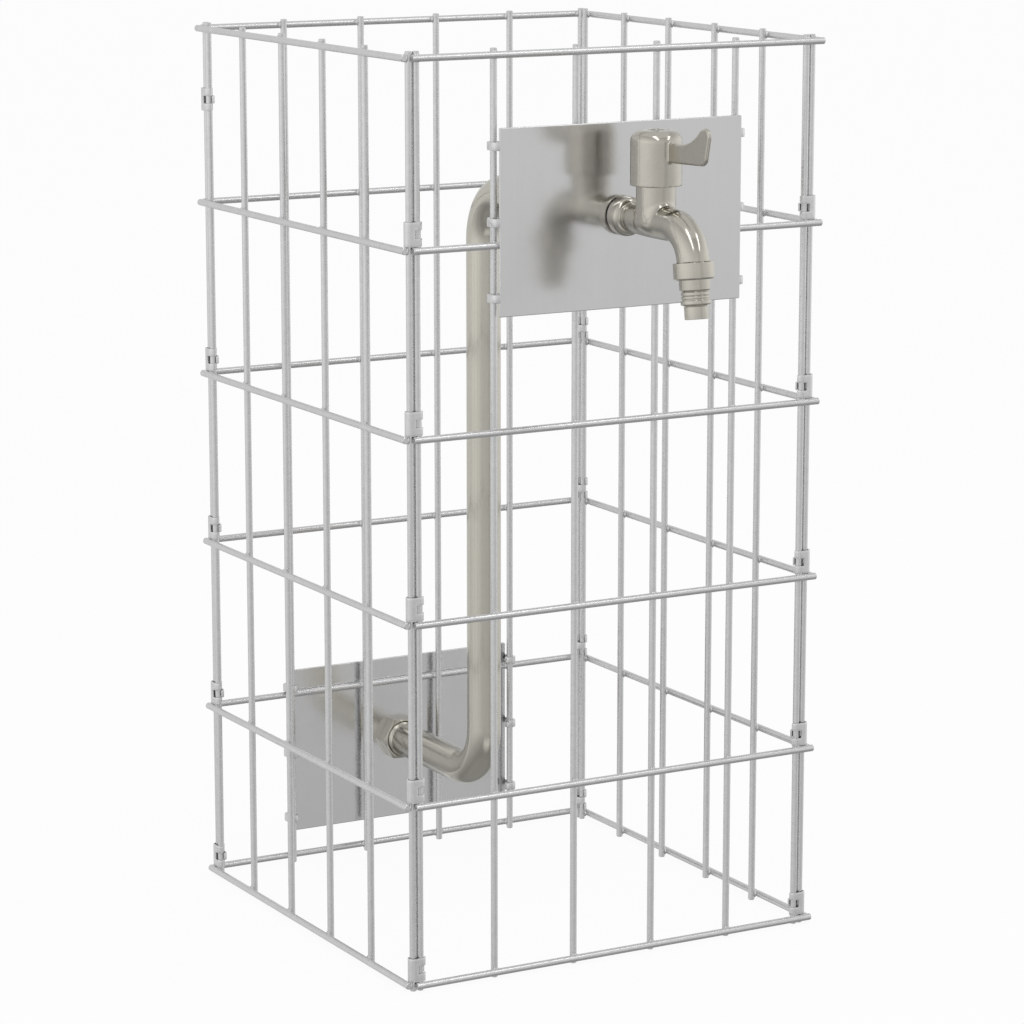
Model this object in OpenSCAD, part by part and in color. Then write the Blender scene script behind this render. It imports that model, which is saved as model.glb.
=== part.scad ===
// Garden standpipe: a welded mesh stone basket with a riser pipe inside and a lever tap on its front.
// Millimetres. +Z is up, -Y is the front, and the origin is the centre of the basket's footprint.

/* [Mesh basket] */
// Width of the basket between the side panels' upright wires
basket_w = 250; // [240:5:300]
// Depth of the basket between the front and rear panels' upright wires
basket_d = 250; // [240:5:300]
// Height of the basket between its lowest and highest level wires
basket_h = 500; // [490:5:600]
// Columns of mesh on each side, an odd number
cols = 5; // [5:2:5]
// Rows of mesh in the height
rows = 5; // [5:1:6]
// Wire diameter
wire_d = 3.8; // [3:0.1:5]
// How far crossing wires sink into each other at a weld
weld_set = 0.3; // [0.2:0.05:0.6]
// Length of upright wire past the top and bottom level wires' centres
wire_foot = 3.5; // [2.5:0.1:8]
// How far the side and rear level wires run past the corner
wire_tail = 3; // [1:0.1:3.4]

/* [Corner clips] */
// Height of a clip
clip_h = 13; // [8:0.5:20]
// Sheet thickness of a clip
clip_t = 0.8; // [0.5:0.1:1.2]
// How far the top clip of the rear left corner has been slid up
clip_slid = 51; // [0:1:70]

/* [Plates] */
// Mesh columns that a plate spans
plate_cols = 3; // [3:2:5]
// Height of a plate
plate_h = 100; // [96:1:120]
// Sheet thickness of a plate and of its hooks
plate_t = 1.5; // [1:0.1:2.5]
// Height of a hook
hook_h = 4.5; // [3:0.1:6]
// Drop of the inlet axis below the second level wire
inlet_drop = 35.9; // [30:0.1:40]

/* [Riser pipe] */
// Outside diameter of the pipe
pipe_d = 19.8; // [16:0.1:24]
// Wall of the pipe
pipe_wall = 1.5; // [1:0.1:2]
// Centreline radius of the two bends
bend_r = 30; // [28:1:45]
// Distance of the upright run behind the basket's centre
riser_y = 22; // [0:1:40]
// Height of the rolled thread above the pipe's wall
thread_lift = 0.5775; // [0.4:0.01:0.8]
// Length of thread that stands free behind the lock nut
inlet_stub = 12; // [9:0.5:20]
// Wall of the inlet nuts at their flats, over the thread
nut_wall = 1.5225; // [1.2:0.01:4]
// Thickness of the hexagon nut inside the inlet plate
inlet_nut_h = 7.5; // [6:0.5:16]
// Thickness of the lock nut outside the inlet plate
lock_nut_h = 6; // [4:0.5:10]
// Thickness of the washer under the lock nut
washer_t = 1.5; // [1:0.1:3]

/* [Tap socket] */
// Thread diameter of the tap's inlet
tap_thread_d = 16.662; // [14:0.001:18]
// Wall of the socket's nose around the tap's thread
nose_wall = 1.55; // [1.2:0.05:3]
// Wall of the socket at its flats, over the pipe's thread
socket_wall = 2.9; // [2:0.1:5]
// Thread depth at each end of the socket
thread_depth = 12; // [9:0.5:16]
// Width of the socket's inner shoulder
socket_web = 3; // [2:0.5:6]
// Thickness of the seal at the end of the tap's thread
seal_t = 1.5; // [1:0.1:2.5]

/* [Tap body] */
// Thickness of the rubber ring behind the tap's collar
gasket_t = 1; // [0.6:0.1:2]
// Diameter of the collar
collar_d = 21.4; // [20:0.1:26]
// Length of the collar
collar_len = 4.6; // [3:0.1:8]
// Diameter of the waist behind the barrel
waist_d = 14.8; // [14:0.1:16]
// Diameter of the level barrel under the valve
barrel_d = 17.6; // [17:0.1:19]
// Distance of the valve axis from the plate
valve_reach = 34; // [32:0.1:38]
// Diameter of the upright valve housing
housing_d = 21.2; // [20.8:0.1:22]
// Height of the housing's rim above the barrel's axis
housing_top = 24; // [22:0.5:30]
// Distance of the end of the spout's bend from the plate
spout_reach = 71.4; // [68:0.1:80]
// Diameter of the spout
spout_d = 17.4; // [16:0.1:17.8]
// Centreline radius of the spout's bend
spout_bend = 19.7; // [18:0.1:21]
// Forward lean of the spout's outlet, in degrees
spout_tilt = 8; // [0:1:15]
// Length of thread at the spout's end
spout_thread = 5.7; // [5:0.1:9]

/* [Valve] */
// Diameter of the valve chamber
chamber_d = 17.5; // [16.9:0.1:17.6]
// Height of the chamber's floor above the barrel's axis
chamber_floor = 7; // [6:0.1:8]
// Diameter of the inlet bore
inlet_bore = 9; // [7:0.5:10]
// Diameter of the ceramic discs
disc_d = 14.8; // [14:0.1:15]
// Thickness of a ceramic disc
disc_t = 3; // [2:0.1:3.5]
// Thickness of the seat seal
seat_t = 2; // [1.5:0.1:2.5]
// Diameter of the spindle
spindle_d = 8; // [6:0.1:8.4]

/* [Lever] */
// Diameter of the lever's cap
cap_d = 27.5; // [26.5:0.1:32]
// Height of the cap
cap_h = 29.1; // [27:0.1:34]
// Rounding of the cap's top edge
cap_round = 6; // [3:0.5:7]
// Drop of the cap's lower edge below the housing's rim
cap_lap = 4.6; // [3:0.1:8]
// Thickness of the blade
blade_t = 2.4; // [2:0.1:5]
// Reach of the blade from the valve axis
blade_reach = 52.9; // [45:0.1:70]
// Height of the blade where it meets the cap
blade_root = 10.5; // [8:0.1:12]
// Height of the blade at its tip
blade_tip = 19.9; // [14:0.1:24]
// Rounding of the blade's tip corners
blade_round = 5.5; // [2:0.5:6]
// Height of the blade's lower edge above the cap's lower edge
blade_drop = 12.8; // [11:0.1:15]
// Length of the level part of the blade's upper edge, next to the cap
blade_flat = 9; // [6:0.5:14]
// Length of the blade's tip between its corner and the hollow of its upper edge
blade_land = 4; // [1:0.5:6]

/* [Hose tail] */
// Diameter of the union nut
union_d = 21.6; // [21.2:0.1:26]
// Length of the union nut
union_h = 9; // [8.8:0.1:12]
// Diameter of the tail's shoulder below the nut
shoulder_d = 16.4; // [15.6:0.1:16.8]
// Length of the shoulder from the tail's flange
shoulder_len = 7; // [4:0.1:10]
// Diameter of the stem
stem_d = 14.9; // [13.5:0.1:15]
// Length of the stem with its ring
stem_len = 7.5; // [6:0.1:14]
// Length of the ring at the stem's lower end
bead_len = 2.7; // [1.5:0.1:4]
// Height of the ring above the stem
bead_rise = 0.55; // [0.3:0.05:0.8]
// Diameter of the tail's tip
tip_d = 12.9; // [11:0.1:13.4]
// Length of the tail's tip
tip_len = 7.2; // [5:0.1:12]
// Bore of the tail
tail_bore = 9; // [6:0.5:10]

/* [Clearances] */
// Gap between neighbouring corner wires
wire_gap = 0.2; // [0.1:0.05:0.4]
// Gap between sheet metal and the wire that it holds
sheet_gap = 0.12; // [0.08:0.02:0.3]
// Gap between a fixed thread and its nut
thread_gap = 0.12; // [0.08:0.02:0.2]
// Gap around pieces that turn past each other
turn_gap = 0.35; // [0.3:0.01:0.5]
// Running gap of the spindle in its bore and of the two discs
run_gap = 0.05; // [0.02:0.01:0.09]

/* [Hidden] */
$fn = 64;

// Colours, as the photograph shows them
zinc = "#bcbcbc";
plate_grey = "#bdbdbd";
nickel = "#b3ad9f";
rubber = "#2b2b2b";
fibre = "#8c4b35";
ceramic = "#f0eee6";

// A little extra length on every cutting tool
cut = 1;

// Basket: planes of the wires and heights of the level wires
wire_r = wire_d / 2;
half_w = basket_w / 2;
half_d = basket_d / 2;
pitch_w = basket_w / cols;
pitch_d = basket_d / cols;
row_pitch = basket_h / rows;
lay = wire_d - weld_set;
side_plane = half_w + lay;
side_inner = side_plane - wire_r;
side_face = side_plane + wire_r;
front_plane = half_d + lay;
front_inner = front_plane - wire_r;
mesh_face = front_plane + wire_r;
end_in = wire_d + wire_gap;
end_set = weld_set + wire_gap;
function level(k) = wire_foot + k * row_pitch;
cage_h = level(rows) + wire_foot;
inner_wires = [for (i = [1:cols - 1]) i * pitch_w - half_w];
inner_side_wires = [for (i = [1:cols - 1]) i * pitch_d - half_d];
front_wires = concat([end_in - half_w], inner_wires, [half_w - end_in]);
rear_wires = concat([end_set - half_w], inner_wires, [half_w - end_set]);
side_wires = concat([end_set - half_d], inner_side_wires, [half_d - end_in]);

// Corner clips: a sleeve on the side panel's wire and three fingers on its neighbour
clip_span = wire_d + wire_gap;
clip_bore = wire_r + end_set / 2 + sheet_gap;
clip_count = 5;
finger_gap = 0.4;
clip_levels = [for (k = [0:clip_count - 1]) level(k) + wire_r + wire_gap];

// Plates: they lie on the level wires and hook round the upright wires at their side edges
plate_w = plate_cols * pitch_w;
plate_in = mesh_face + sheet_gap;
plate_out = plate_in + plate_t;
hook_r = wire_r + sheet_gap;
hook_bend = hook_r - 0.2;
hook_step = inlet_drop + wire_r + wire_gap + hook_h / 2;

// Plumbing heights: the inlet hangs below a level wire and the tap's socket clears the one under it
tap_row = rows - 1;
nose_r = tap_thread_d / 2 + thread_gap + nose_wall;
inlet_z = level(1) - inlet_drop;
tap_z = level(tap_row) + wire_r + wire_gap + nose_r;

// Riser pipe and its nuts
pipe_r = pipe_d / 2;
pipe_bore = pipe_r - pipe_wall;
pipe_thread_r = pipe_r + thread_lift;
nut_bore = pipe_thread_r + thread_gap;
nut_af = 2 * (pipe_thread_r + nut_wall);
thread_run = 3;
groove_w = 1.2;
lock_nut_end = plate_out + washer_t + lock_nut_h;
stub_start = lock_nut_end + groove_w;
inlet_end = stub_start + inlet_stub;
inlet_thread_start = plate_in - inlet_nut_h - thread_run;

// Tap socket: a round nose between the wires, then a hexagon behind them
socket_af = 2 * (pipe_thread_r + socket_wall);
nose_end = front_inner - wire_gap * 2;
tap_thread_end = plate_in - thread_depth;
seal_end = tap_thread_end - seal_t;
socket_step = seal_end - socket_web;
socket_end = socket_step - thread_depth;
socket_ease = 1;
socket_bore = inlet_bore / 2 + socket_ease;
pipe_front = socket_step - sheet_gap;
pipe_thread_back = socket_end - thread_run;

// Tap body, measured forward from the plate's face and up from the barrel's axis
collar_r = collar_d / 2;
waist_r = waist_d / 2;
barrel_r = barrel_d / 2;
collar_back = gasket_t;
collar_front = gasket_t + collar_len;
collar_edge = 0.8;
shoulder_run = 3.2;
waist_start = collar_front + shoulder_run;
waist_run = 3.4;
waist_end = waist_start + waist_run;
housing_r = housing_d / 2;
housing_bowl = 4;
spout_r = spout_d / 2;
spout_turn = 90 - spout_tilt;
spout_start = spout_reach - spout_bend * sin(spout_turn);
spout_drop = spout_bend * (1 - cos(spout_turn));
spout_bore = 6;
spout_thread_lift = 0.1;
spout_thread_r = spout_r + spout_thread_lift;
spout_end = -spout_thread;
thread_r = tap_thread_d / 2;
thread_back = plate_t + thread_depth;

// Valve stack in the chamber, from the floor up
chamber_r = chamber_d / 2;
disc_r = disc_d / 2;
seat_top = chamber_floor + seat_t;
fixed_top = seat_top + disc_t;
moving_low = fixed_top + run_gap;
moving_top = moving_low + disc_t;
drive_t = 2;
drive_top = moving_top + drive_t;
skirt_in = disc_r + turn_gap;
skirt_wall = 0.4;
skirt_out = skirt_in + skirt_wall;
skirt_lift = 0.3;
skirt_low = seat_top + skirt_lift;
stop_gap = 0.4;
stop_low = drive_top + stop_gap;
flange_h = 2.5;
flange_top = housing_top + flange_h;
flange_set = 0.6;
flange_r = housing_r - flange_set;
spindle_r = spindle_d / 2;
port_r = 2;
port_offset = 3.6;
ring_section = 0.7;
ring_z = (stop_low + flange_top) / 2;
outlet_bore = 3;

// Lever cap and blade, above the barrel's axis
cap_r = cap_d / 2;
cap_low = housing_top - cap_lap;
cap_top = cap_low + cap_h;
cap_hollow = housing_r + turn_gap;
cap_clear = 3;
cap_ceiling = flange_top + cap_clear;
spindle_grip = 7;
spindle_top = cap_ceiling + spindle_grip;
socket_r = spindle_r + run_gap;
screw_r = 2;
screw_head_r = 3.6;
screw_head_h = 2.2;
recess_gap = 0.4;
recess_r = screw_head_r + recess_gap;
recess_depth = 3;
recess_floor = cap_top - recess_depth;
blade_low = cap_low + blade_drop;
blade_rise = 1.2;
blade_lean = 2.3;

// Union nut, washer and hose tail, measured along the outlet from the end of the spout's bend
union_top = -0.2;
union_low = union_top - union_h;
union_bore = spout_thread_r + turn_gap;
lip_t = 0.9;
washer_top = spout_end - 0.2;
hose_washer_t = 1.2;
flange_low = union_low + lip_t + 0.2;
tail_top = washer_top - hose_washer_t;
tail_flange_r = union_bore - turn_gap;
lip_r = shoulder_d / 2 + turn_gap;
shoulder_low = flange_low - shoulder_len;
stem_low = shoulder_low - stem_len;
tip_low = stem_low - tip_len;

// Points of an arc about [cx, cy] from angle a0 to a1
function arc(cx, cy, r, a0, a1, n = 8) =
    [for (i = [0:n]) let (a = a0 + (a1 - a0) * i / n) [cx + r * cos(a), cy + r * sin(a)]];

// Points of a quadratic curve from a to c that bends towards b
function curve(a, b, c, n = 10) =
    [for (i = [0:n]) let (t = i / n) (1 - t) * (1 - t) * a + 2 * t * (1 - t) * b + t * t * c];

module upright(x, y) {
    translate([x, y, 0]) cylinder(h = cage_h, r = wire_r);
}

module level_x(y, z, from, to) {
    translate([from, y, z]) rotate([0, 90, 0]) cylinder(h = to - from, r = wire_r);
}

module level_y(x, z, from, to) {
    translate([x, from, z]) rotate([-90, 0, 0]) cylinder(h = to - from, r = wire_r);
}

module front_panel() {
    color(zinc) union() {
        for (x = front_wires) upright(x, -half_d);
        for (k = [0:rows]) level_x(-front_plane, level(k), -half_w, side_face - wire_gap);
    }
}

module rear_panel() {
    color(zinc) union() {
        for (x = rear_wires) upright(x, half_d);
        for (k = [0:rows]) level_x(front_plane, level(k), wire_gap - side_inner, half_w + wire_tail);
    }
}

module left_panel() {
    color(zinc) union() {
        for (y = side_wires) upright(-half_w, y);
        for (k = [0:rows]) level_y(-side_plane, level(k), -front_inner, half_d + wire_tail);
    }
}

module right_panel() {
    color(zinc) union() {
        for (y = side_wires) upright(half_w, y);
        for (k = [0:rows]) level_y(side_plane, level(k), wire_gap - front_inner, front_inner - wire_gap);
    }
}

module slot_outline(r) {
    translate([-clip_span / 2, 0]) circle(r);
    translate([clip_span / 2, 0]) circle(r);
    square([clip_span, 2 * r], center = true);
}

// One clip along X: the sleeve is at +X, the fingers at -X, and the outer face looks to -Y
module corner_clip() {
    third = clip_h / 3;
    reach = clip_span + 2 * (clip_bore + clip_t);
    difference() {
        linear_extrude(clip_h) slot_outline(clip_bore + clip_t);
        translate([0, 0, -cut]) linear_extrude(clip_h + 2 * cut) slot_outline(clip_bore);
        translate([-reach, -reach, third]) cube([reach, reach + finger_gap, third]);
        translate([-reach, -finger_gap, -cut]) cube([reach, reach, third + cut]);
        translate([-reach, -finger_gap, 2 * third]) cube([reach, reach, third + cut]);
    }
}

module front_clips() {
    for (z = clip_levels)
        translate([half_w - clip_span / 2, end_set / 2 - half_d, z]) corner_clip();
}

module rear_clips(slid) {
    for (k = [0:clip_count - 1]) {
        lift = k == clip_count - 1 ? slid : 0;
        translate([end_set / 2 - half_w, half_d - clip_span / 2, clip_levels[k] + lift])
            rotate(-90) corner_clip();
    }
}

module clips_front_left() {
    color(zinc) mirror([1, 0, 0]) front_clips();
}

module clips_front_right() {
    color(zinc) front_clips();
}

module clips_rear_left() {
    color(zinc) rear_clips(clip_slid);
}

module clips_rear_right() {
    color(zinc) mirror([1, 0, 0]) rear_clips(0);
}

// Plan of one hook at the plate's right edge: a round bend, back past the wire and round its inner side
module hook_outline() {
    outer = hook_r + plate_t;
    edge = plate_w / 2;
    turn = [edge + hook_r - hook_bend, hook_bend - plate_in];
    difference() {
        union() {
            translate([edge, -half_d]) circle(outer);
            translate([edge + hook_r, turn[1]]) square([plate_t, -half_d - turn[1]]);
            translate([edge - plate_t, -plate_out]) square([plate_t + turn[0] - edge, plate_t]);
            intersection() {
                translate(turn) circle(hook_bend + plate_t);
                translate([turn[0], -plate_out]) square(hook_bend + plate_t);
            }
        }
        translate([edge, -half_d]) circle(hook_r);
        translate([edge - outer, -plate_in]) square([outer + turn[0] - edge, plate_in - half_d]);
        translate([edge - outer, turn[1]]) square([outer + hook_r, -half_d - turn[1]]);
        translate(turn) circle(hook_bend);
    }
}

module plate_sheet(hole_r) {
    difference() {
        union() {
            translate([-plate_w / 2, -plate_out, -plate_h / 2]) cube([plate_w, plate_t, plate_h]);
            for (side = [0, 1], step = [-1:1])
                mirror([side, 0, 0])
                    translate([0, 0, step * hook_step - hook_h / 2])
                        linear_extrude(hook_h) hook_outline();
        }
        translate([0, cut - plate_in, 0]) rotate([90, 0, 0]) cylinder(h = plate_t + 2 * cut, r = hole_r);
    }
}

module tap_plate() {
    color(plate_grey) translate([0, 0, tap_z]) plate_sheet(thread_r + thread_gap);
}

module inlet_plate() {
    color(plate_grey) translate([0, 0, inlet_z]) rotate(180) plate_sheet(nut_bore);
}

// A round bar along Y between two places
module bar_y(from, to, r) {
    translate([0, from, 0]) rotate([-90, 0, 0]) cylinder(h = to - from, r = r);
}

// A quarter bend in the YZ plane that starts level at [y, z] and turns up or down
module bend(r) {
    rotate([0, 90, 0]) rotate_extrude(angle = 90) translate([bend_r, 0]) circle(r);
}

module pipe_core(r, over) {
    low = inlet_z + bend_r;
    high = tap_z - bend_r;
    translate([0, 0, inlet_z]) bar_y(riser_y + bend_r, inlet_end + over, r);
    translate([0, riser_y + bend_r, low]) mirror([0, 1, 0]) bend(r);
    translate([0, riser_y, low]) cylinder(h = high - low, r = r);
    translate([0, riser_y - bend_r, high]) mirror([0, 0, 1]) bend(r);
    translate([0, 0, tap_z]) bar_y(-pipe_front - over, riser_y - bend_r, r);
}

module riser_pipe() {
    color(nickel) difference() {
        union() {
            pipe_core(pipe_r, 0);
            translate([0, 0, inlet_z]) bar_y(inlet_thread_start, lock_nut_end, pipe_thread_r);
            translate([0, 0, inlet_z]) bar_y(stub_start, inlet_end, pipe_thread_r);
            translate([0, 0, tap_z]) bar_y(-pipe_front, -pipe_thread_back, pipe_thread_r);
        }
        pipe_core(pipe_bore, cut);
    }
}

// A hexagon nut from z = 0 up, with its corners chamfered at the top
module hex_nut(af, h, bore) {
    corner = af / 2 / cos(30);
    chamfer = (corner - af / 2) * 0.8;
    difference() {
        intersection() {
            cylinder(h = h, r = corner, $fn = 6);
            rotate_extrude() polygon([[0, 0], [corner, 0], [corner, h - chamfer], [af / 2, h], [0, h]]);
        }
        translate([0, 0, -cut]) cylinder(h = h + 2 * cut, r = bore);
    }
}

module inlet_nut() {
    color(nickel) translate([0, plate_in, inlet_z]) rotate([90, 0, 0]) hex_nut(nut_af, inlet_nut_h, nut_bore);
}

module inlet_washer() {
    color(zinc) translate([0, 0, inlet_z]) difference() {
        bar_y(plate_out, plate_out + washer_t, nut_af / 2 + 1);
        bar_y(plate_out - cut, plate_out + washer_t + cut, nut_bore);
    }
}

module inlet_lock_nut() {
    color(nickel) translate([0, plate_out + washer_t, inlet_z]) rotate([-90, 0, 0])
        hex_nut(nut_af, lock_nut_h, nut_bore);
}

module tap_socket() {
    color(nickel) translate([0, 0, tap_z]) difference() {
        union() {
            bar_y(-plate_in, -nose_end, nose_r);
            translate([0, -nose_end, 0]) rotate([-90, 0, 0]) hex_nut(socket_af, nose_end - socket_end, 1);
        }
        bar_y(-plate_in - cut, -seal_end, thread_r + thread_gap);
        bar_y(-seal_end - cut, -socket_step + cut, socket_bore);
        bar_y(-socket_step, -socket_end + cut, nut_bore);
    }
}

module socket_seal() {
    color(fibre) translate([0, 0, tap_z]) difference() {
        bar_y(-tap_thread_end, -seal_end, thread_r);
        bar_y(-tap_thread_end - cut, -seal_end + cut, socket_bore);
    }
}

// Moves a piece to the tap: the plate's face on the barrel's axis, with -Y forward
module at_tap() {
    translate([0, -plate_out, tap_z]) children();
}

// Moves a piece to the valve axis at the barrel's height
module at_valve() {
    translate([0, -plate_out - valve_reach, tap_z]) children();
}

// Moves a piece to the end of the spout's bend and leans it with the outlet
module at_spout() {
    translate([0, -plate_out - spout_reach, tap_z - spout_drop]) rotate([-spout_tilt, 0, 0]) children();
}

// A turned form about the barrel's axis, from points of radius and distance forward
module turned_forward(points) {
    rotate([90, 0, 0]) rotate_extrude() polygon(points);
}

module ring(low, high, outer, inner) {
    difference() {
        translate([0, 0, low]) cylinder(h = high - low, r = outer);
        translate([0, 0, low - cut]) cylinder(h = high - low + 2 * cut, r = inner);
    }
}

module tap_gasket() {
    color(rubber) at_tap() difference() {
        bar_y(-gasket_t, 0, collar_r - collar_edge);
        bar_y(-gasket_t - cut, cut, thread_r + thread_gap);
    }
}

// Outline of the turned part of the body: thread, collar, waist and barrel
function body_outline() = concat(
    [[0, -thread_back], [thread_r, -thread_back], [thread_r, collar_back]],
    [[collar_r - collar_edge, collar_back], [collar_r, collar_back + collar_edge]],
    curve([collar_r, collar_front], [collar_r, waist_start], [waist_r, waist_start]),
    curve([waist_r, waist_end], [barrel_r, (waist_end + valve_reach) / 2], [barrel_r, valve_reach]),
    [[spout_r, spout_start], [0, spout_start]]
);

// Outline of the valve housing, with a rounded foot that sinks into the barrel
function housing_outline() = concat(
    [[0, -housing_bowl]],
    curve([housing_r - housing_bowl, -housing_bowl], [housing_r, -housing_bowl], [housing_r, 0]),
    [[housing_r, housing_top], [0, housing_top]]
);

module spout_bend_solid(r) {
    translate([0, -spout_start, -spout_bend]) rotate([0, -90, 0])
        rotate_extrude(angle = -spout_turn) translate([spout_bend, 0]) circle(r);
}

module tap_body() {
    outlet_from = valve_reach + chamber_r - 1.5;
    outlet_r = spout_bore - 0.5;
    lap = 0.3;
    color(nickel) difference() {
        union() {
            at_tap() turned_forward(body_outline());
            at_tap() spout_bend_solid(spout_r);
            at_valve() rotate_extrude() polygon(housing_outline());
            at_spout() translate([0, 0, spout_end]) cylinder(h = spout_thread + lap, r = spout_thread_r);
        }
        at_tap() bar_y(-valve_reach, thread_back + cut, inlet_bore / 2);
        at_valve() cylinder(h = chamber_floor + cut, r = inlet_bore / 2 - 1);
        at_valve() translate([0, 0, chamber_floor]) cylinder(h = housing_top, r = chamber_r);
        at_tap() translate([0, -outlet_from, chamber_floor + 2]) rotate([135, 0, 0])
            cylinder(h = 2 * spout_bore + chamber_floor - 2, r = outlet_bore);
        at_tap() bar_y(-spout_start, spout_bore - spout_start, spout_bore);
        at_tap() spout_bend_solid(spout_bore);
        at_spout() translate([0, 0, spout_end - cut]) cylinder(h = spout_thread + 2 * cut, r = outlet_r);
    }
}

module valve_cartridge() {
    neck_r = spindle_r + 2;
    window_h = disc_t;
    color("#c9a35b") at_valve() difference() {
        union() {
            translate([0, 0, skirt_low]) cylinder(h = stop_low - skirt_low, r = skirt_out);
            translate([0, 0, stop_low]) cylinder(h = housing_top - stop_low, r = chamber_r - thread_gap);
            translate([0, 0, housing_top]) cylinder(h = flange_top - housing_top, r = flange_r);
            translate([0, 0, flange_top]) cylinder(h = 2, r = neck_r);
        }
        translate([0, 0, skirt_low - cut]) cylinder(h = stop_low - skirt_low + cut, r = skirt_in);
        translate([0, 0, stop_low - cut]) cylinder(h = cap_ceiling - stop_low + cut, r = spindle_r + run_gap);
        translate([-window_h, -2 * skirt_out, moving_low]) cube([2 * window_h, 4 * skirt_out, window_h]);
    }
}

module seat_seal() {
    color(rubber) at_valve() ring(chamber_floor, seat_top, disc_r - 1.5, inlet_bore / 2);
}

// A ceramic disc with two ports along X, or along Y when it is turned
module ceramic_disc(low, turn) {
    color(ceramic) at_valve() rotate(turn) difference() {
        translate([0, 0, low]) cylinder(h = disc_t, r = disc_r);
        for (side = [-1, 1])
            translate([side * port_offset, 0, low - cut]) cylinder(h = disc_t + 2 * cut, r = port_r);
    }
}

module fixed_disc() {
    ceramic_disc(seat_top, 0);
}

module moving_disc() {
    ceramic_disc(moving_low, 90);
}

module spindle() {
    groove_r = spindle_r - 2 * ring_section;
    color("#c9a35b") at_valve() difference() {
        union() {
            translate([0, 0, moving_top]) cylinder(h = drive_t, r = disc_r - 0.2);
            translate([0, 0, moving_top]) cylinder(h = spindle_top - moving_top, r = spindle_r);
        }
        ring(ring_z - ring_section - 0.1, ring_z + ring_section + 0.1, spindle_r + cut, groove_r);
        translate([0, 0, cap_ceiling]) cylinder(h = spindle_top, r = screw_r);
    }
}

module spindle_ring() {
    color(rubber) at_valve() translate([0, 0, ring_z])
        rotate_extrude() translate([spindle_r - ring_section, 0]) circle(ring_section);
}

// Outline of the cap's section, with a rounded top edge
function cap_outline() = concat(
    [[0, cap_low], [cap_r - 0.5, cap_low], [cap_r, cap_low + 0.5]],
    arc(cap_r - cap_round, cap_top - cap_round, cap_round, 0, 90),
    [[0, cap_top]]
);

// Outline of the blade: distance forward of the valve axis, and height
function blade_outline() =
    let (
        root = cap_r - 1,
        tip_low = blade_low + blade_rise,
        tip_high = blade_low + blade_rise + blade_tip,
        top_round = blade_round * 0.8,
        land = blade_reach - top_round - blade_land,
        mid = cap_r + blade_flat
    )
    concat(
        [[root, blade_low]],
        arc(blade_reach - blade_lean - blade_round, tip_low + blade_round, blade_round, -90, -5),
        arc(blade_reach - top_round, tip_high - top_round, top_round, -5, 90),
        curve(
            [land, tip_high - blade_land * 0.3],
            [mid + (land - mid) * 0.6, blade_low + blade_root + 0.5],
            [mid, blade_low + blade_root]
        ),
        [[root, blade_low + blade_root]]
    );

module lever_handle() {
    color(nickel) at_valve() difference() {
        union() {
            rotate_extrude() polygon(cap_outline());
            rotate([90, 0, -90]) translate([0, 0, -blade_t / 2])
                linear_extrude(blade_t) polygon(blade_outline());
        }
        translate([0, 0, cap_low - cut]) cylinder(h = cap_ceiling - cap_low + cut, r = cap_hollow);
        translate([0, 0, cap_ceiling - cut]) cylinder(h = spindle_top - cap_ceiling + cut, r = socket_r);
        translate([0, 0, spindle_top - cut]) cylinder(h = cap_h, r = screw_r + run_gap);
        translate([0, 0, recess_floor]) cylinder(h = cap_h, r = recess_r);
    }
}

module handle_screw() {
    shank_low = cap_ceiling + 1;
    drive = 1.5;
    color(nickel) at_valve() difference() {
        union() {
            translate([0, 0, shank_low]) cylinder(h = recess_floor - shank_low, r = screw_r - run_gap);
            translate([0, 0, recess_floor]) cylinder(h = screw_head_h, r = screw_head_r);
        }
        translate([0, 0, recess_floor + screw_head_h - drive]) cylinder(h = drive + cut, r = drive, $fn = 6);
    }
}

module union_nut() {
    edge = 0.5;
    outer = union_d / 2;
    color(nickel) at_spout() difference() {
        rotate_extrude() polygon([
            [0, union_low], [outer - edge, union_low], [outer, union_low + edge],
            [outer, union_top - edge], [outer - edge, union_top], [0, union_top]
        ]);
        translate([0, 0, union_low + lip_t]) cylinder(h = union_h, r = union_bore);
        translate([0, 0, union_low - cut]) cylinder(h = union_h, r = lip_r);
    }
}

// Outline of the tail: flange, shoulder, stem with its ring, and tip
function tail_outline() =
    let (
        stem_r = stem_d / 2,
        tip_r = tip_d / 2,
        bead_r = stem_r + bead_rise,
        bead_top = stem_low + bead_len,
        edge = 0.4
    )
    concat(
        [[0, tip_low], [tip_r - edge, tip_low], [tip_r, tip_low + edge], [tip_r, stem_low]],
        [[bead_r - edge, stem_low], [bead_r, stem_low + edge]],
        [[bead_r, bead_top - edge], [bead_r - edge, bead_top], [stem_r, bead_top], [stem_r, shoulder_low]],
        [[shoulder_d / 2 - edge, shoulder_low], [shoulder_d / 2, shoulder_low + edge]],
        [[shoulder_d / 2, flange_low], [tail_flange_r, flange_low], [tail_flange_r, tail_top], [0, tail_top]]
    );

module hose_tail() {
    color(nickel) at_spout() difference() {
        rotate_extrude() polygon(tail_outline());
        translate([0, 0, tip_low - cut]) cylinder(h = tail_top - tip_low + 2 * cut, r = tail_bore / 2);
    }
}

module hose_washer() {
    color(rubber) at_spout() ring(tail_top, washer_top, tail_flange_r, spout_bore - 0.5);
}

front_panel();
rear_panel();
left_panel();
right_panel();
clips_front_left();
clips_front_right();
clips_rear_left();
clips_rear_right();
tap_plate();
inlet_plate();
riser_pipe();
inlet_nut();
inlet_washer();
inlet_lock_nut();
tap_socket();
socket_seal();
tap_gasket();
tap_body();
valve_cartridge();
seat_seal();
fixed_disc();
moving_disc();
spindle();
spindle_ring();
lever_handle();
handle_screw();
union_nut();
hose_tail();
hose_washer();
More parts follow.
